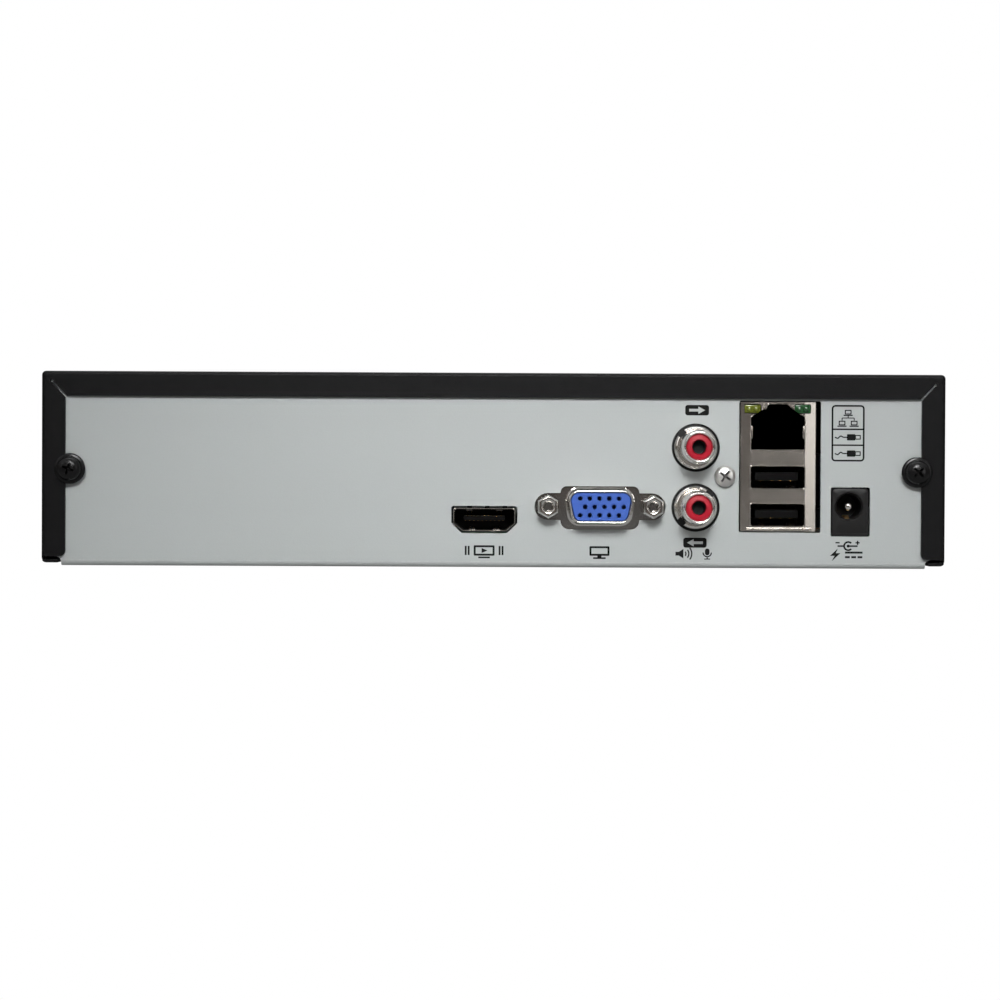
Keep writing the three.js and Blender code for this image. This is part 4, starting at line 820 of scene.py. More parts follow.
# %% Barrels, rings and their housing
for label, z, notch_turns in (("out", out_z, (45,)), ("in", in_z, (135, 315))):
    at = Vector((jack_x, z))
    tip = low_high("audio_barrel_" + label)[1].y
    turned = [(3.2, 93.3), (5.0, 93.3), (5.2, 93.5), (5.2, 94.0), (5.0, 94.35), (4.55, 94.6), (4.3, 94.2),
              (4.1, 94.1), (4.1, 94.8),
              (4.1, tip - 1.9), (4.0, tip - 1.2), (3.78, tip - 0.45), (3.6, tip - 0.12), (3.42, tip),
              (3.25, tip - 0.05), (3.1, tip - 0.25), (3.06, tip - 0.5), (3.06, 93.3), (3.2, 93.3)]
    barrel = new(lathe, "Y", at, turned, 96)
    for degrees in notch_turns:
        direction = Vector((math.cos(math.radians(degrees)), math.sin(math.radians(degrees))))
        side = direction.orthogonal() * 1.0
        near, far = at + direction * 4.1, at + direction * 6
        key = [near - side, far - side, far + side, near + side]
        barrel = carve(barrel, new(slab, "Y", [key], (93, 95)))
    piece(barrel, "audio_plated_barrel_" + label, barrel_nickel, replaces="audio_barrel_" + label)
    ring_profile = [(0, 94), (3.02, 94), (3.02, tip - 0.72), (2.9, tip - 0.6), (1.85, tip - 0.5),
                    (1.62, tip - 0.75), (1.6, 95), (0, 95)]
    insulator = new(lathe, "Y", at, ring_profile, 48)
    piece(insulator, "audio_red_ring_" + label, red_plastic, replaces="audio_insulator_" + label)
    socket = new(lathe, "Y", at, [(1.58, 95.2), (1.58, tip - 3.8), (1.35, tip - 3.7), (1.3, tip - 4.0),
                                  (1.3, 95.2), (1.58, 95.2)], 32)
    piece(socket, "audio_centre_contact_" + label, brass)
    # Painted shade: a black cap a millimetre inside the centre hole stands in for the shade deep in the
    # hole, and hides the brass contact behind it.
    hole_shade_cap = new(lathe, "Y", at, [(1.6, tip - 0.9), (1.5, tip - 1.0), (1.5, tip - 3.5), (0, tip - 3.5)], 32)
    piece(hole_shade_cap, "audio_hole_painted_shade_" + label, black_plastic)
housing = new(block, (jack_x - 6.2, 80.2, board_top + 0.1), (jack_x + 6.2, PANEL_BACK, 35.65), 0.5, 3)
block(housing, (tie_screw.x - 3, 84.5, tie_screw.z - 3), (jack_x, PANEL_BACK, tie_screw.z + 3), 0.5, 3)
for z in (out_z, in_z):
    lathe(housing, "Y", Vector((jack_x, z)), [(0, 93.1), (5.6, 93.1), (5.6, 93.5), (5.4, 93.6), (0, 93.6)],
          48)
piece(housing, "audio_moulding", black_plastic, replaces="audio_jack_housing")
print("audio sockets made")

# %% [markdown]
# ## Network and USB stack
# One tin-plated shield is folded round the network socket and the two USB sockets under it. Its face
# is carved for the mouths and the two lights, and the mouths' edges are rolled. The mouldings inside
# carry the contacts: eight sprung wires above, four flat ones under each USB tongue.

# %% The mouths of the stack
face_y = stack_high.y
LIGHT_SHIFT = Vector((0.35, 0, 0))
LIGHTS = {side: middle("link_led_" + side) + LIGHT_SHIFT for side in ("left", "right")}
usb_low = {"lower": board_top + 1.9, "upper": board_top + 10.9}
mouth_x = -67.9
network_low, network_high = board_top + 20.2, board_top + 28
plug_half = [(6.35, network_low, 0.3), (6.35, network_high, 0.3), (3.7, network_high, 0.1),
             (3.7, network_high + 1.6, 0.3), (2.25, network_high + 1.6, 0.1), (2.25, network_high + 3, 0.3)]
plug_mouth = moved(outline(both_sides(plug_half), 4), mouth_x, 0)
usb_mouths = [rectangle(mouth_x, low + 2.62, 12.8, 5.25, 0.35, 4) for low in usb_low.values()]
light_mouths = [rectangle(light.x, light.z, 3.95, 2.3, 0.35, 4) for light in LIGHTS.values()]

# %% [markdown]
# The shield's face leans back a little towards its sides, as folded tin plate does, so its plan is
# drawn from above and run upwards. The mouths are carved to their own depths, and their edges rolled.

# %% The shield
plan = [(stack_low.x, stack_low.y, 0.3), (stack_high.x + 0.4, stack_low.y, 0.3),
        (stack_high.x + 0.4, face_y - 0.7, 0.35), (mouth_x + 6.45, face_y, 0.4),
        (mouth_x - 6.5, face_y, 0.4), (stack_low.x, face_y - 0.6, 0.3)]
shield = new(slab, "Z", [outline(plan, 5)], (stack_low.z, stack_high.z))
cavities = bmesh.new()
for mouths, depth in (([plug_mouth], 14.5), (usb_mouths, 13), (light_mouths, 5)):
    for mouth in mouths:
        slab(cavities, "Y", [mouth], (face_y - depth, face_y + 1))
shield = carve(shield, cavities)
for mouth in (*usb_mouths, plug_mouth):
    centre = sum(mouth, Vector((0, 0))) / len(mouth)
    rolled = []
    for spread, rise in ((0.34, -0.3), (0.26, 0.02), (0.17, 0.12), (0.06, 0.12), (-0.03, 0.02),
                         (-0.04, -0.8)):
        reach = [Vector((p.x + spread * (1 if p.x > mouth_x else -1),
                         p.y + spread * (1 if p.y > centre.y else -1))) for p in mouth]
        rolled.append((reach, face_y + rise))
    loft(shield, "Y", rolled)
lip_top = usb_low["lower"] - 0.35
foot_lip = outline([(face_y - 0.5, stack_low.z), (face_y + 0.12, stack_low.z + 0.15, 0.2),
                    (face_y + 0.05, lip_top, 0.2), (face_y - 0.5, lip_top)], 4)
slab(shield, "X", [foot_lip], (stack_low.x + 1.2, stack_high.x - 1.2))
tab = [(face_y - 0.5, -0.1), (face_y - 2.6, 0.75), (face_y - 7, -0.1)]
for side in (-1, 1):
    bump_x, x = mouth_x + side * 6.25, mouth_x + side * 3.4
    block(shield, (bump_x - 0.34, face_y - 2, 31), (bump_x + 0.34, face_y + 0.25, 34.2), 0.3, 4)
    for low in usb_low.values():
        for z, way in ((low + 0.05, 1), (low + 5.2, -1)):
            slab(shield, "X", [[(y, z + way * up) for y, up in tab]], (x - 1.1, x + 1.1))
stack_shield = piece(shield, "stack_shield", tin, replaces="network_usb_shield",
                     crease=32)
print("shield", len(stack_shield.data.polygons), "faces")

# %% [markdown]
# Behind the network mouth is a black moulding with nine ribs, and eight sprung wires lie between
# them. Each USB mouth has a tongue with four flat contacts. The lights are tinted lenses, each with
# two small domes.

# %% Mouldings, contacts and lights in the stack
liner = bmesh.new()
inset_mouth = [Vector((mouth_x + (p.x - mouth_x) * 0.985, p.y + (32.5 - p.y) * 0.02)) for p in plug_mouth]
loft(liner, "Y", [(inset_mouth, face_y - 1.2), (inset_mouth, face_y - 14.4)], (False, True))
back_low = network_low + 0.4
block(liner, (mouth_x - 6.1, face_y - 14.3, back_low), (mouth_x + 6.1, face_y - 11, back_low + 2.2), 0.2)
for i in range(9):
    x = mouth_x + (i - 4) * 1.02
    block(liner, (x - 0.17, face_y - 14.2, back_low), (x + 0.17, face_y - 6.5, back_low + 1.1), 0.05, 1)
piece(liner, "network_liner", shade_darkened_black, replaces="network_usb_body")
wires = bmesh.new()
for i in range(8):
    x = mouth_x + (i - 3.5) * 1.02
    bent = [(face_y - 2.6, network_low + 0.7), (face_y - 9.5, network_low + 4.3),
            (face_y - 9.8, network_low + 4.1), (face_y - 3.0, network_low + 0.4)]
    slab(wires, "X", [bent], (x - 0.16, x + 0.16))
piece(wires, "network_contacts", shaded_gold)
for label, low in usb_low.items():
    tongue = bmesh.new()
    top = low + 5.25 - 1.4
    block(tongue, (mouth_x - 5.2, face_y - 12, top - 2), (mouth_x + 5.2, face_y - 2.0, top), 0.18)
    block(tongue, (mouth_x - 5.8, face_y - 13, low + 0.1), (mouth_x + 5.8, face_y - 11.6, low + 5.1), 0.1)
    piece(tongue, "usb_tongue_%s_moulding" % label, shade_darkened_black, replaces="usb_tongue_" + label)
    strips = bmesh.new()
    for across in (-3.5, -1.0, 1.0, 3.5):
        x, wide = mouth_x + across, 0.5
        block(strips, (x - wide, face_y - 11, top - 2.07), (x + wide, face_y - 2.8, top - 1.9), 0.05, 1)
    piece(strips, "usb_contacts_" + label, gold)
for label, lens, slot in (("left", yellow_lens, "yellow_lens"), ("right", green_lens, "green_lens")):
    low, high = (end + LIGHT_SHIFT for end in low_high("link_led_" + label))
    light = new(block, (low.x - 0.08, low.y, low.z - 0.03), (high.x + 0.08, face_y - 0.3, high.z + 0.03),
                0.3, 4)
    for x in (low.x + 1.05, high.x - 1.05):
        dome = [(0.75 * math.cos(t * 0.196), face_y - 0.35 + 0.5 * math.sin(t * 0.196)) for t in range(9)]
        lathe(light, "Y", Vector((x, (low.z + high.z) / 2)), dome, 24)
    piece(light, "link_light_" + label, lens, replaces="link_led_" + label)
print("stack made")

# %% [markdown]
# ## Power socket
# A moulded block with a round mouth, a centre pin with a rounded tip and a brass leaf that presses on
# the plug.

# %% Block, pin and spring
bore = Vector((-85.1, 14.9))
jack = bmesh.new()
face = power_high.y
body_outline = outline([(power_low.x, power_low.z, 0.5), (power_high.x, power_low.z, 0.5),
                        (power_high.x, power_high.z, 0.9), (power_low.x, power_high.z, 0.9)], 5)
inset_low, inset_high = power_low + Vector((0.25, 0, 0.25)), power_high - Vector((0.25, 0, 0.25))
inset_outline = outline([(inset_low.x, inset_low.z, 0.4), (inset_high.x, inset_low.z, 0.4),
                         (inset_high.x, inset_high.z, 0.7), (inset_low.x, inset_high.z, 0.7)], 5)
loft(jack, "Y", [(body_outline, power_low.y), (body_outline, face - 0.25), (inset_outline, face)],
     (True, False))
mouth = [(3.4, face), (3.35, face - 0.15), (3.05, face - 0.45), (3.0, face - 0.6), (3.0, face - 9.5)]
flat(jack, "Y", [inset_outline, circle(*bore, 3.4, 48)], face)
loft(jack, "Y", [(circle(*bore, radius, 48), y) for radius, y in mouth], (False, True))
block(jack, (power_low.x, panel_y - 0.72, 7.78), (power_high.x, panel_y - 0.05, power_low.z + 0.4), 0.05, 1)
piece(jack, "power_jack_moulding", black_plastic, replaces="power_jack_body")
pin = new(lathe, "Y", bore, [(0, face - 9.4), (1.0, face - 9.4), (1.0, face - 1.5), (0.9, face - 1.1),
                             (0.6, face - 0.85), (0, face - 0.78)], 32)
piece(pin, "power_jack_centre_pin", chrome, replaces="power_jack_pin")
leaf = bmesh.new()
spring = [(face - 1.2, -2.72), (face - 2.4, -2.05), (face - 8.5, -2.85), (face - 8.5, -2.98),
          (face - 2.4, -2.25), (face - 1.0, -2.9)]
slab(leaf, "X", [[(y, bore.y + up) for y, up in spring]], (bore.x - 0.2, bore.x + 1.1))
piece(leaf, "power_jack_leaf_spring", brass)
print("power socket made")

# %% [markdown]
# ## Printed marks
# The sockets are named by screen-printed signs. These are plain pictograms: arrows, screens, a
# loudspeaker, plugs, and the usual polarity sign. Ink has a thickness, if only a few hundredths of a
# millimetre, so each sign is a very thin slab on the panel.

# %% Ink on the panel
INK = (panel_y, panel_y + 0.03)
prints = bmesh.new()


def sign(loops):
    """Outlines in millimetres to the right of the middle and up, as seen from behind."""
    slab(prints, "Y", [[Vector((-p[0], p[1])) for p in loop] for loop in loops], INK)


def bar(start, end, wide=0.4):
    start, end = Vector(start), Vector(end)
    side = (end - start).orthogonal().normalized() * wide / 2
    sign([[start - side, end - side, end + side, start + side]])


def frame_sign(x, z, width, height, radius, line):
    inner = rectangle(x, z, width - 2 * line, height - 2 * line, max(radius - line, 0.05))
    sign([rectangle(x, z, width, height, radius), inner])


def arc_band(x, z, outer, inner, angles):
    """A curved stroke between two radii."""
    return [Vector((x + radius * math.cos(a), z + radius * math.sin(a)))
            for radius, turns in ((outer, angles), (inner, angles[::-1])) for a in turns]


def arrow_hole(x, z, way):
    half = [(-1.9, 0.32), (0.3, 0.32), (0.3, 0.88), (1.9, 0)]
    points = half + [(a, -b) for a, b in reversed(half[:3])]
    return [Vector((x + way * a, z + b)) for a, b in points]


# %% Arrows out and in, a loudspeaker with its waves, and a microphone
for x, z, width, height, way in ((48.6, 37.8, 5.7, 2.5, 1), (48.25, 6.1, 5.6, 2.4, -1)):
    sign([rectangle(x, z, width, height, 0.6), arrow_hole(x, z, way)])
sign([[(43.6, 3.0), (44.4, 3.0), (45.5, 2.3), (45.5, 4.6), (44.4, 3.9), (43.6, 3.9)]])
for radius in (0.8, 1.5, 2.2):
    sign([arc_band(45.3, 3.45, radius + 0.16, radius - 0.16, [t * 0.17 for t in range(-4, 5)])])
sign([rectangle(51.2, 3.9, 1.1, 1.6, 0.5)])
sign([arc_band(51.2, 3.75, 1.15, 0.85, [math.pi * (1 + t / 8) for t in range(9)])])
bar((51.2, 2.6), (51.2, 2.25), 0.3)
bar((50.5, 2.2), (51.9, 2.2), 0.25)

# %% Screens: one on a foot, and a wide one that plays
frame_sign(25.4, 4.0, 4.8, 2.3, 0.25, 0.48)
bar((25.4, 2.9), (25.4, 2.3), 1.0)
bar((23.9, 2.3), (26.9, 2.3), 0.4)
frame_sign(-2.2, 4.0, 5.0, 2.5, 0.25, 0.48)
sign([[(-2.8, 3.4), (-1.4, 4.0), (-2.8, 4.6)]])
bar((-3.6, 2.35), (-0.8, 2.35), 0.4)
for x in (-6.6, -5.9, 1.5, 2.2):
    bar((x, 2.9), (x, 5.1), 0.44)

# %% Polarity, direct current and a lightning bolt
sign([arc_band(84.95, 5.45, 1.2, 0.78, [0.75 + t * 0.342 for t in range(15)])])
sign([circle(84.95, 5.45, 0.36, 20)])
for start, end, wide in (((85.0, 5.45), (87.2, 5.45), 0.38), ((83.8, 5.45), (82.4, 5.45), 0.38),
                         ((81.9, 6.25), (82.9, 6.25), 0.32), ((86.7, 6.25), (87.7, 6.25), 0.32),
                         ((87.2, 5.75), (87.2, 6.75), 0.32), ((84.2, 3.9), (88.4, 3.9), 0.5)):
    bar(start, end, wide)
for x in (84.2, 85.7, 87.2):
    bar((x, 2.8), (x + 1.15, 2.8), 0.5)
sign([[(82.5, 4.9), (80.6, 3.1), (81.7, 3.1), (81.0, 1.8), (83.1, 3.75), (82.0, 3.75)]])

# %% Signs beside the stack: a network of three computers, and a plug for each USB socket
frame_sign(84.75, 32.45, 7.9, 13.5, 0.9, 0.4)
bar((80.9, 33.4), (88.6, 33.4), 0.36)
bar((80.9, 29.6), (88.6, 29.6), 0.36)
for x, z in ((84.75, 37.5), (83.3, 34.9), (86.2, 34.9)):
    frame_sign(x, z, 1.6, 1.1, 0.15, 0.24)
    bar((x - 1.1, z - 0.75), (x + 1.1, z - 0.75), 0.28)
bar((84.75, 36.7), (84.75, 36.15), 0.22)
bar((83.3, 36.1), (86.2, 36.1), 0.22)
bar((83.3, 36.1), (83.3, 35.5), 0.22)
bar((86.2, 36.1), (86.2, 35.5), 0.22)
for z in (31.5, 27.6):
    sign([rectangle(85.5, z, 2.0, 1.5, 0.2)])
    frame_sign(87.1, z, 1.4, 1.1, 0.1, 0.24)
    cable = [(84.5, 0), (83.6, 0), (83.0, 0.35), (82.3, -0.3), (81.6, 0)]
    for (x0, z0), (x1, z1) in zip(cable, cable[1:]):
        bar((x0, z + z0), (x1, z + z1), 0.28)
piece(prints, "printed_signs", ink)
print("signs printed")

# %% [markdown]
# ## The front
# The front is a moulded bezel, clipped to the tray, with a smoked window for the remote receiver and
# three lights on a small board behind it. A soft front edge and a shallow groove keep it plain.

# %% Bezel
smoked = finish("smoked_glossy_plastic", (0.02, 0.008, 0.01), 0.08, grain_mm=0.6, contrast=0.1, coat=0.5)
clear = finish("clear_moulded_plastic", (0.75, 0.78, 0.8), 0.12, grain_mm=0.6, contrast=0.05, coat=0.3)
bezel_low, bezel_high = low_high("front_bezel")
window_low, window_high = low_high("ir_window")
light_z = middle("light_pipe").z
middle_z, tall = (bezel_low.z + bezel_high.z) / 2, bezel_high.z - bezel_low.z
bezel = new(slab, "Y", [rectangle(0, middle_z, 2 * half_width, tall, 1.5, 6)],
            (bezel_low.y, bezel_low.y + 9.5))
bmesh.ops.remove_doubles(bezel, verts=bezel.verts[:], dist=1e-4)
front_edges = [e for e in bezel.edges if all(v.co.y < bezel_low.y + 0.01 for v in e.verts)]
round_edges(bezel, front_edges, 1.4, 6)
pocket = rectangle(0, middle_z, 2 * half_width - 4, tall - 4, 1, 4)
bezel = carve(bezel, new(slab, "Y", [pocket], (bezel_low.y + 2.2, 0)))
front_cuts = bmesh.new()
window_x = (window_low.x + window_high.x) / 2
slab(front_cuts, "Y", [rectangle(window_x, light_z, 24, 14, 1, 6)], (bezel_low.y - 1, bezel_low.y + 3))
LIGHT_X = (66, 74, 82)
for x in LIGHT_X:
    slab(front_cuts, "Y", [circle(x, light_z, 1.65, 32)], (bezel_low.y - 1, bezel_low.y + 3))
groove = [(bezel_low.y - 0.1, -0.5), (bezel_low.y + 0.7, -0.12), (bezel_low.y + 0.7, 0.12),
          (bezel_low.y - 0.1, 0.5)]
slab(front_cuts, "X", [[(y, 35.5 + z) for y, z in groove]], (-half_width - 1, half_width + 1))
bezel = carve(bezel, front_cuts)
for x, z in HOOKS:
    arm = outline([(bezel_low.y + 2.1, z - 0.8), (-83.3, z - 0.8, 0.3), (-82.5, z + 0.3),
                   (-83.9, z + 2.0, 0.2), (-83.9, z + 0.8), (bezel_low.y + 2.1, z + 0.8)])
    slab(bezel, "X", [arm], (x - 4, x + 4))
for x in (24, 92):
    boss = [(0, bezel_low.y + 2.1), (1.9, bezel_low.y + 2.1), (1.5, bezel_low.y + 3), (1.5, -87.3),
            (1.2, -87.1), (0, -87.1)]
    lathe(bezel, "Y", Vector((x, light_z)), boss, 24)
bezel_material = finish("bezel_textured_plastic", (0.0065, 0.0065, 0.007), 0.5, grain_mm=0.5, contrast=0.15,
                        bump=0.5, worn_colour=(0.03, 0.03, 0.03), worn_amount=0.4, specular=0.2)
piece(bezel, "moulded_bezel", bezel_material, replaces="front_bezel", crease=28)

# %% [markdown]
# The window's glossy pane stands in the bezel's opening and hides the receiver's dark eye. Three clear
# guides carry the light of the front board's lamps to the face; each ends in a shallow dome.

# %% Window, light guides and the receiver's eye
pane = new(block, (window_x - 11.85, bezel_low.y + 0.2, light_z - 6.85),
           (window_x + 11.85, bezel_low.y + 2.8, light_z + 6.85), 0.45, 4)
block(pane, (window_low.x, bezel_low.y + 2.3, window_low.z), (window_high.x, window_high.y, window_high.z),
      0.2)
piece(pane, "receiver_window", smoked, replaces="ir_window")
pipes = bmesh.new()
for x in LIGHT_X:
    lathe(pipes, "Y", Vector((x, light_z)), [(0, -95.2), (0.8, -95.12), (1.3, -94.9), (1.5, -94.5),
                                             (1.5, -92.5), (0, -92.5)], 32)
block(pipes, (63.5, -92.7, light_z - 2), (84.5, -91.1, light_z + 2), 0.3, 3)
piece(pipes, "light_guides", clear, replaces="light_pipe")
eye = new(block, (37, -89.95, 19.5), (43, -89.5, 26.5), 0.05)
block(eye, (37, -91.0, 19.5), (43, -89.6, 26.5), 0.3, 3)
lathe(eye, "Y", Vector((40, 23.6)), [(0, -91.6), (0.9, -91.5), (1.6, -91.2), (1.9, -90.9), (0, -90.9)], 24)
piece(eye, "remote_receiver", black_plastic, replaces="ir_receiver")
print("front made")

# %% [markdown]
# ## The main board
# Sliding the cover off shows the board, so it is made in full. Its laminate is green with tracks
# showing darker and lighter through the solder mask. The tracks are a pattern of straight runs: two
# brick-like grids at different scales, broken up by noise, with plated dots for the vias.

# %% Solder mask with tracks
def board_finish(name, mask=(0.006, 0.07, 0.028), track=(0.02, 0.15, 0.06)):
    material = new_material(name)
    tree = material.node_tree
    shader = tree.nodes["Principled BSDF"]
    shader.inputs["Roughness"].default_value = 0.32
    shader.inputs["Coat Weight"].default_value = 0.4
    here = put(tree, "ShaderNodeTexCoord").outputs["Object"]
    runs = None
    for turn, scale in ((0.0, 420.0), (math.pi / 2, 300.0)):
        laid = put(tree, "ShaderNodeMapping", {"Vector": here, "Rotation": (0, 0, turn)}).outputs[0]
        brick = put(tree, "ShaderNodeTexBrick", {"Vector": laid, "Scale": scale, "Mortar Size": 0.12,
                                                 "Brick Width": 9.0, "Row Height": 0.55,
                                                 "Mortar Smooth": 0.05})
        patch = put(tree, "ShaderNodeTexNoise", {"Vector": laid, "Scale": 70.0, "Detail": 1.0}).outputs[0]
        part = maths(tree, "MULTIPLY", brick.outputs["Fac"], between(tree, patch, 0.52, 0.54, 0.0, 1.0))
        runs = part if runs is None else maths(tree, "MAXIMUM", runs, part)
    dots = put(tree, "ShaderNodeTexVoronoi", {"Vector": here, "Scale": 260.0, "Randomness": 0.9})
    via = between(tree, dots.outputs["Distance"], 0.1, 0.08, 0.0, 1.0)
    plated = blended(tree, via, blended(tree, runs, mask, track), (0.5, 0.48, 0.4))
    tree.links.new(plated, shader.inputs["Base Color"])
    tree.links.new(via, shader.inputs["Metallic"])
    raised = put(tree, "ShaderNodeBump", {"Height": runs, "Strength": 0.3, "Distance": 0.00005})
    tree.links.new(raised.outputs[0], shader.inputs["Normal"])
    return material


green_board = board_finish("green_solder_mask")
board_low, board_high = low_high("main_board")
board = bmesh.new()
edge_outline = rectangle(0, (board_low.y + board_high.y) / 2, board_high.x - board_low.x,
                         board_high.y - board_low.y, 1.5)
slab(board, "Z", [edge_outline] + [circle(*at, 1.7, 24) for at in board_holes], (board_low.z, board_high.z))
piece(board, "main_circuit_board", green_board, replaces="main_board", rim=0.06)
lands = bmesh.new()
for at in board_holes:
    lathe(lands, "Z", at, [(1.7, board_top), (1.7, board_top + 0.04), (3.6, board_top + 0.04),
                           (3.6, board_top)], 32)
piece(lands, "screw_lands", steel)
board_head = [(2.6, 0), (2.8, 0.25), (2.75, 0.9), (2.3, 1.5), (1.4, 1.85), (0, 1.95)]
for i, at in enumerate(board_holes):
    cross_screw("board_pan_screw_%d" % (i + 1), "Z", at, board_top + 0.06, board_head, 2.8, 0.3 + i, steel,
                3.4, 1.4, "chassis", "board_screw_%d" % (i + 1))

# %% [markdown]
# The processor sits under a finned heat sink. The memory chips have gull-wing legs, which step down
# from the package to the board, so each leg is one bent strip with its bends drawn from the side.

# %% Heat sink and chips
aluminium = finish("cast_aluminium", (0.5, 0.51, 0.52), 0.42, 1.0, grain_mm=0.5, contrast=0.25, bump=0.4,
                   cloud_mm=25, cloudy=0.12)
anodised = finish("black_anodised_fins", (0.025, 0.026, 0.03), 0.35, 0.6, grain_mm=0.2, contrast=0.2,
                  bump=0.15, worn_colour=(0.3, 0.3, 0.32), worn_amount=0.5)
chip_black = finish("epoxy_chip_package", (0.02, 0.02, 0.021), 0.55, grain_mm=0.15, contrast=0.3, bump=0.3)
sink_low, sink_high = low_high("heat_sink")
sink = new(block, sink_low, (sink_high.x, sink_high.y, sink_low.z + 2), 0.25)
for i in range(8):
    x = sink_low.x + 0.65 + i * (32 - 1.3) / 7
    fin = outline([(x - 0.65, sink_low.z + 1.8), (x + 0.65, sink_low.z + 1.8), (x + 0.45, sink_high.z, 0.4),
                   (x - 0.45, sink_high.z, 0.4)], 4)
    slab(sink, "Y", [fin], (sink_low.y, sink_high.y))
piece(sink, "finned_heat_sink", anodised, replaces="heat_sink")


def chip(bm_body, bm_legs, node, legs, pitch):
    low, high = low_high(node)
    block(bm_body, (low.x + 0.9, low.y, low.z + 0.1), (high.x - 0.9, high.y, high.z), 0.12)
    for side in (-1, 1):
        for i in range(legs):
            y = (low.y + high.y) / 2 + (i - (legs - 1) / 2) * pitch
            foot = high.x if side > 0 else low.x
            root = foot - side * 1.0
            gull = [(root, high.z - 0.45), (foot - side * 0.6, high.z - 0.5),
                    (foot - side * 0.45, low.z + 0.02), (foot, low.z), (foot, low.z - 0.08),
                    (foot - side * 0.65, low.z - 0.06), (foot - side * 0.75, high.z - 0.62),
                    (root, high.z - 0.6)]
            slab(bm_legs, "Y", [gull], (y - pitch * 0.3, y + pitch * 0.3))


for node in ("memory_chip_left", "memory_chip_right"):
    package, legs = bmesh.new(), bmesh.new()
    chip(package, legs, node, 15, 0.8)
    piece(package, node + "_package", chip_black, replaces=node)
    piece(legs, node + "_legs", steel)
low, high = low_high("processor")
package = new(block, low, high, 0.15)
piece(package, "processor_package", chip_black, replaces="processor")

# %% [markdown]
# A coin cell keeps the clock. Its can is crimped over the lid, and it lies in a plastic cup with a
# gap at one side for a fingernail and a sprung clip at the other.

# %% Coin cell in its holder
low, high = low_high("coin_cell")
cell_at = middle("coin_cell").to_2d()
cell = new(lathe, "Z", cell_at, [(0, low.z), (8.6, low.z), (9.7, low.z + 0.4), (9.9, low.z + 0.8),
                                 (9.9, high.z - 0.5), (9.7, high.z - 0.15), (9.4, high.z - 0.05),
                                 (8.9, high.z), (0, high.z)], 72)
piece(cell, "coin_cell_can", steel, replaces="coin_cell")
low, high = low_high("coin_cell_holder")
holder = new(lathe, "Z", cell_at, [(0, low.z), (11.6, low.z), (11.8, low.z + 0.3), (11.8, high.z - 0.3),
                                   (11.5, high.z), (10.6, high.z), (10.2, high.z - 0.4),
                                   (10.2, low.z + 0.8), (0, low.z + 0.8)], 64)
gap = (cell_at.x - 4.5, cell_at.y - 13, low.z + 1.2), (cell_at.x + 4.5, cell_at.y - 5, high.z + 1)
holder = carve(holder, new(block, *gap))
piece(holder, "coin_cell_cup", black_plastic, replaces="coin_cell_holder")
clip = bmesh.new()
arm = [(cell_at.y + 10.4, low.z + 1), (cell_at.y + 10.4, high.z + 0.1), (cell_at.y + 6.5, high.z - 0.2),
       (cell_at.y + 6.5, high.z), (cell_at.y + 10.7, high.z + 0.35), (cell_at.y + 10.7, low.z + 1)]
slab(clip, "X", [arm], (cell_at.x - 1.8, cell_at.x + 1.8))
piece(clip, "coin_cell_clip", steel)

# %% [markdown]
# Round parts come from a lathe: the buzzer's case with its sound hole, and the capacitors' sleeves,
# which shrink into the groove near the foot. Their bare tops are scored with a cross, to burst there.

# %% Buzzer, capacitors and choke
low, high = low_high("buzzer")
at = middle("buzzer").to_2d()
sounder = new(lathe, "Z", at, [(0, low.z), (5.7, low.z), (5.9, low.z + 0.3), (5.9, high.z - 0.6),
                               (5.7, high.z - 0.15), (5.3, high.z), (2.0, high.z), (1.7, high.z - 0.3),
                               (1.0, high.z - 0.35), (1.0, high.z - 3), (0, high.z - 3)], 48)
piece(sounder, "sounder", black_plastic, replaces="buzzer")
sleeve = finish("capacitor_sleeve", (0.012, 0.02, 0.06), 0.3, grain_mm=0.3, contrast=0.1, bump=0.05)
for label in ("large", "small"):
    low, high = low_high("capacitor_" + label)
    at, radius = middle("capacitor_" + label).to_2d(), (high.y - low.y) / 2
    can = new(lathe, "Z", at, [(0, low.z), (radius * 0.92, low.z), (radius, low.z + 0.5),
                               (radius, low.z + 1.2), (radius * 0.93, low.z + 1.7), (radius, low.z + 2.2),
                               (radius, high.z - 0.5), (radius * 0.94, high.z - 0.1),
                               (radius * 0.86, high.z - 0.05)], 48)
    piece(can, "capacitor_%s_sleeve" % label, sleeve, replaces="capacitor_" + label)
    top = new(lathe, "Z", at, [(radius * 0.86, high.z - 0.05), (radius * 0.8, high.z - 0.25),
                               (0, high.z - 0.25)], 48)
    for turn in (0.4, 0.4 + math.pi / 2):
        way = Vector((math.cos(turn), math.sin(turn)))
        side = way.orthogonal() * 0.12
        ends = [at + way * radius * 0.7, at - way * radius * 0.7]
        score = [ends[0] - side, ends[0] + side, ends[1] + side, ends[1] - side]
        slab(top, "Z", [score], (high.z - 0.3, high.z - 0.2))
    piece(top, "capacitor_%s_top" % label, aluminium)
low, high = low_high("power_inductor")
choke = new(block, low, high, 1.2, 4)
piece(choke, "power_choke", chip_black, replaces="power_inductor")

# %% [markdown]
# A header is a moulded shroud round a row of pins. The shroud is a block with a well carved in it.

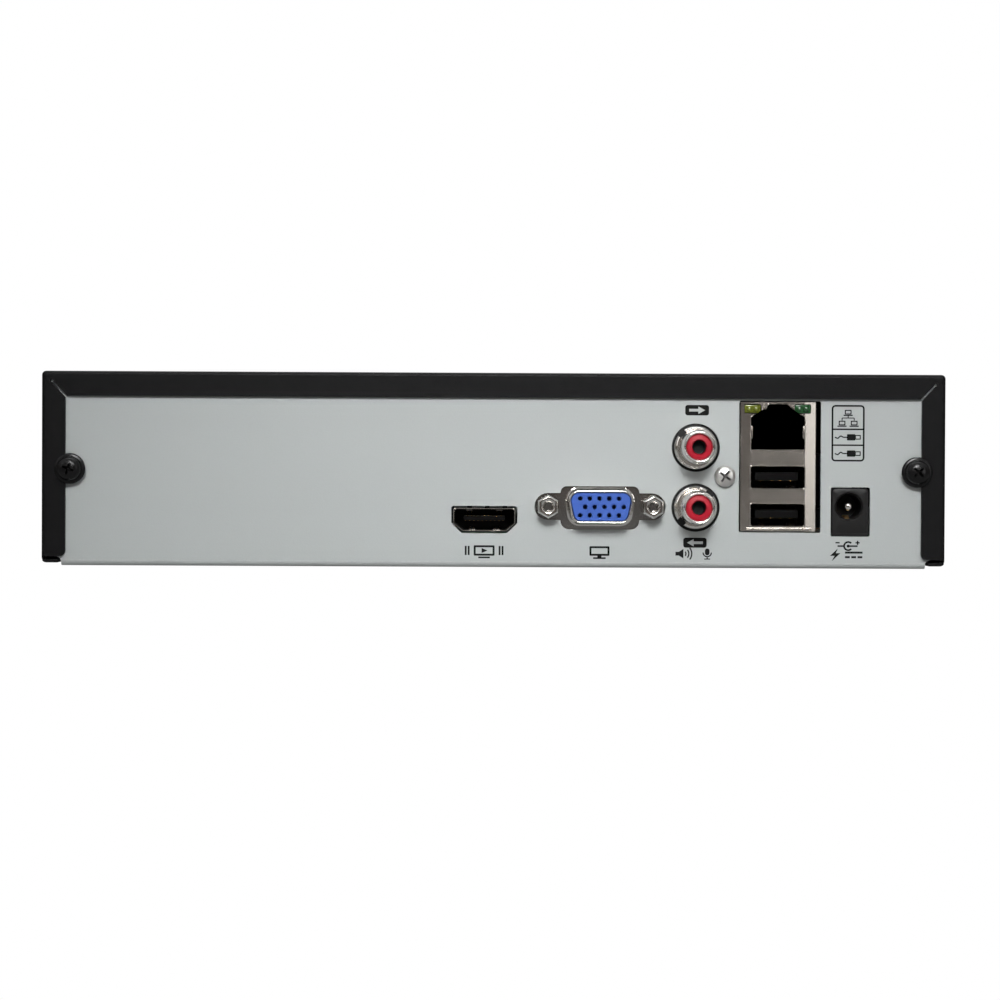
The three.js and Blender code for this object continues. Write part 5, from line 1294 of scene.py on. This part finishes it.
# %% Headers
white_plastic = finish("white_moulded_plastic", (0.7, 0.7, 0.68), 0.4, grain_mm=0.2, contrast=0.06,
                       bump=0.1)
for node, material, slot in (("sata_data_header", black_plastic, "black_plastic"),
                             ("sata_power_header", white_plastic, "white_plastic"),
                             ("front_header", white_plastic, "white_plastic")):
    low, high = low_high(node)
    header = new(block, low, high, 0.25, 2)
    well = (low.x + 1, low.y + 0.9, low.z + 2), (high.x - 1, high.y - 0.9, high.z + 1)
    header = carve(header, new(block, *well))
    piece(header, node + "_shroud", material, replaces=node)
    pins = bmesh.new()
    count = 4 if node == "sata_power_header" else 7
    for i in range(count):
        x = (low.x + high.x) / 2 + (i - (count - 1) / 2) * (high.x - low.x - 4) / count
        y = (low.y + high.y) / 2
        block(pins, (x - 0.3, y - 0.3, low.z + 1.9), (x + 0.3, y + 0.3, high.z - 1.2), 0.1)
    piece(pins, node + "_pins", gold)
print("board parts made")

# %% [markdown]
# A board is mostly small parts: resistors, capacitors and transistors in rows beside the chips they
# serve. They are tiny and many, so each is a plain block between two tinned ends, laid out on a
# grid with some places left empty by a seeded draw, and kept off the larger parts.

# %% Small parts on the board
draw = random.Random(7)
keep_out = []
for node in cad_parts:
    low, high = low_high(node)
    on_board = low.z < board_top + 2 and high.z > board_top + 0.5 and high.y > board_low.y
    if on_board and node not in ("top_cover", "chassis_tray", "main_board", "front_ribbon"):
        keep_out.append((low.x - 2.5, high.x + 2.5, low.y - 2.5, high.y + 2.5))
bodies, ends = bmesh.new(), bmesh.new()
ROWS, COLUMNS, ROW_STEP, COLUMN_STEP = 14, 46, 4.2, 4.0
small_dark = finish("small_part_ceramic", (0.16, 0.1, 0.05), 0.4, grain_mm=0.2, contrast=0.2, bump=0.1)
count = 0
for row in range(ROWS):
    for column in range(COLUMNS):
        x = -90 + column * COLUMN_STEP + draw.uniform(-0.6, 0.6)
        y = 32 + row * ROW_STEP + draw.uniform(-0.5, 0.5)
        taken = any(a < x < b and c < y < d for a, b, c, d in keep_out)
        if taken or draw.random() > 0.55 or any((at - Vector((x, y))).length < 5.5 for at in board_holes):
            continue
        along_x = draw.random() > 0.5
        long, wide, high = draw.choice(((2.0, 1.2, 0.6), (1.6, 0.8, 0.5), (3.2, 1.6, 0.9)))
        dx, dy = (long / 2, wide / 2) if along_x else (wide / 2, long / 2)
        cap_x, cap_y = (long * 0.18, 0) if along_x else (0, long * 0.18)
        z = board_top
        block(bodies, (x - dx + cap_x, y - dy + cap_y, z), (x + dx - cap_x, y + dy - cap_y, z + high), 0)
        for side in (-1, 1):
            end_size = (cap_x if along_x else 2 * dx, cap_y if not along_x else 2 * dy)
            centre_x = x + side * (dx - cap_x / 2) if along_x else x
            centre_y = y if along_x else y + side * (dy - cap_y / 2)
            block(ends, (centre_x - end_size[0] / 2, centre_y - end_size[1] / 2, z),
                  (centre_x + end_size[0] / 2, centre_y + end_size[1] / 2, z + high + 0.03), 0)
        count += 1
piece(bodies, "small_part_bodies", small_dark)
piece(ends, "small_part_ends", steel)
print("small parts", count)

# %% [markdown]
# ## The hard drive
# A 3.5-inch drive is a cast tub closed by a stamped lid. The lid shows the round of the platters, the
# corner that holds the arm, six screws and a blank label. Its casting is left rough outside.

# %% Lid and label
lid_low, lid_high = low_high("disk_lid")
polished = finish("brushed_lid_steel", (0.6, 0.61, 0.62), 0.24, 1.0, grain_mm=0.25, contrast=0.12,
                  bump=0.12, cloud_mm=18, cloudy=0.12)
label_white = finish("blank_paper_label", (0.4, 0.4, 0.39), 0.6, grain_mm=0.4, contrast=0.04, bump=0.05)
spindle = middle("disk_platter").to_2d()
pivot = Vector((19.5, -2.2))
lid = bmesh.new()
lid_outline = outline([(lid_low.x, lid_low.y, 4), (lid_high.x, lid_low.y, 4), (lid_high.x, lid_high.y, 4),
                       (lid_low.x, lid_high.y, 4)], 6)
slab(lid, "Z", [lid_outline], (lid_low.z, lid_low.z + 0.6))
centre = (Vector((lid_low.x, lid_low.y)) + Vector((lid_high.x, lid_high.y))) / 2


def shrunk(points, by):
    return [p - (p - centre).normalized() * by for p in points]


loft(lid, "Z", [(shrunk(lid_outline, 6.0), lid_low.z + 0.6), (shrunk(lid_outline, 6.6), lid_low.z + 0.85),
                (shrunk(lid_outline, 7.0), lid_high.z)], (False, True))
lathe(lid, "Z", spindle, [(0, lid_high.z + 0.02), (6.5, lid_high.z + 0.02), (6.9, lid_high.z - 0.15)], 48)
lathe(lid, "Z", pivot, [(0, lid_high.z + 0.02), (4.2, lid_high.z + 0.02), (4.6, lid_high.z - 0.15)], 40)
piece(lid, "stamped_lid", polished, replaces="disk_lid", crease=20)
label = new(slab, "Z", [rectangle(-50, -28.2, 68, 82, 2)], (lid_high.z, lid_high.z + 0.06))
piece(label, "blank_label", label_white)

# %% [markdown]
# Six small screws hold the lid. The drive itself is held from below, through the dimples in the
# tray's floor, so that their heads stay clear of the table.

# %% The drive's connector and screws
lid_screws = [(lid_low.x + 4, lid_low.y + 4), (lid_low.x + 4, lid_high.y - 4),
              (lid_high.x - 4, lid_low.y + 4), (lid_high.x - 4, lid_high.y - 4),
              (centre.x + 12, lid_low.y + 3.2), (centre.x + 12, lid_high.y - 3.2)]
screws = bmesh.new()
for x, y in lid_screws:
    lathe(screws, "Z", Vector((x, y)), [(2.3, lid_low.z + 0.6), (2.4, lid_low.z + 0.7),
                                        (2.3, lid_high.z - 0.02), (1.2, lid_high.z),
                                        (1.1, lid_high.z - 0.2), (0, lid_high.z - 0.25)], 24)
piece(screws, "lid_screws", black_steel)
plug_low, plug_high = low_high("disk_connector")
plug = new(block, plug_low, plug_high, 0.3, 2)
piece(plug, "drive_connector", black_plastic, replaces="disk_connector")
low_head = [(3.1, 0), (3.35, 0.15), (3.3, 0.6), (2.8, 1.1), (1.8, 1.45), (0, 1.55)]
for i in range(4):
    node = "disk_screw_%d" % (i + 1)
    place = middle(node).to_2d()
    cross_screw("drive_mount_screw_%d" % (i + 1), "Z", place, 1.98, low_head, 3.2, 0.5 + i, steel, 5.8, 1.6,
                "chassis", node)

# %% [markdown]
# Some pieces are right as the CAD made them, and need only a finish: the boards, the ribbon, the
# drive's casting, its disk and arm, and the two leads. The ribbon's wires are a wave in its bump.

# %% Finishes of the pieces that keep their CAD shape
ribbon_grey = finish("grey_ribbon_cable", (0.35, 0.35, 0.34), 0.5, grain_mm=0.6, contrast=0.2, bump=0.3)
tree = ribbon_grey.node_tree
here = put(tree, "ShaderNodeTexCoord").outputs["Object"]
wires = put(tree, "ShaderNodeTexWave", {"Vector": here, "Scale": 160.0}, bands_direction="X",
            wave_profile="SIN")
cord_bump = put(tree, "ShaderNodeBump", {"Height": wires.outputs["Fac"], "Strength": 0.8,
                                         "Distance": 0.0002})
tree.links.new(cord_bump.outputs[0], tree.nodes["Principled BSDF"].inputs["Normal"])
red_lead = finish("red_cable_jacket", (0.32, 0.012, 0.014), 0.42, grain_mm=0.5, contrast=0.1, bump=0.15,
                  cloud_mm=12, cloudy=0.08)
black_lead = finish("black_cable_jacket", (0.014, 0.014, 0.015), 0.5, grain_mm=0.5, contrast=0.2, bump=0.2)
mirror = finish("polished_platter", (0.62, 0.64, 0.68), 0.05, 1.0, grain_mm=0.5, contrast=0.02)
KEPT = {
    "front_board": green_board, "front_ribbon": ribbon_grey, "disk_case": aluminium, "disk_platter": mirror,
    "disk_actuator": aluminium, "disk_circuit_board": green_board, "sata_data_cable": red_lead,
    "sata_power_cable": black_lead,
}
for node, material in KEPT.items():
    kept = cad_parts[node]
    for slot in kept.material_slots:
        slot.material = material
    if not kept.material_slots:
        kept.data.materials.append(material)
print("kept CAD shapes", sorted(KEPT))

# %% [markdown]

# %% Finish
print("all pieces made")
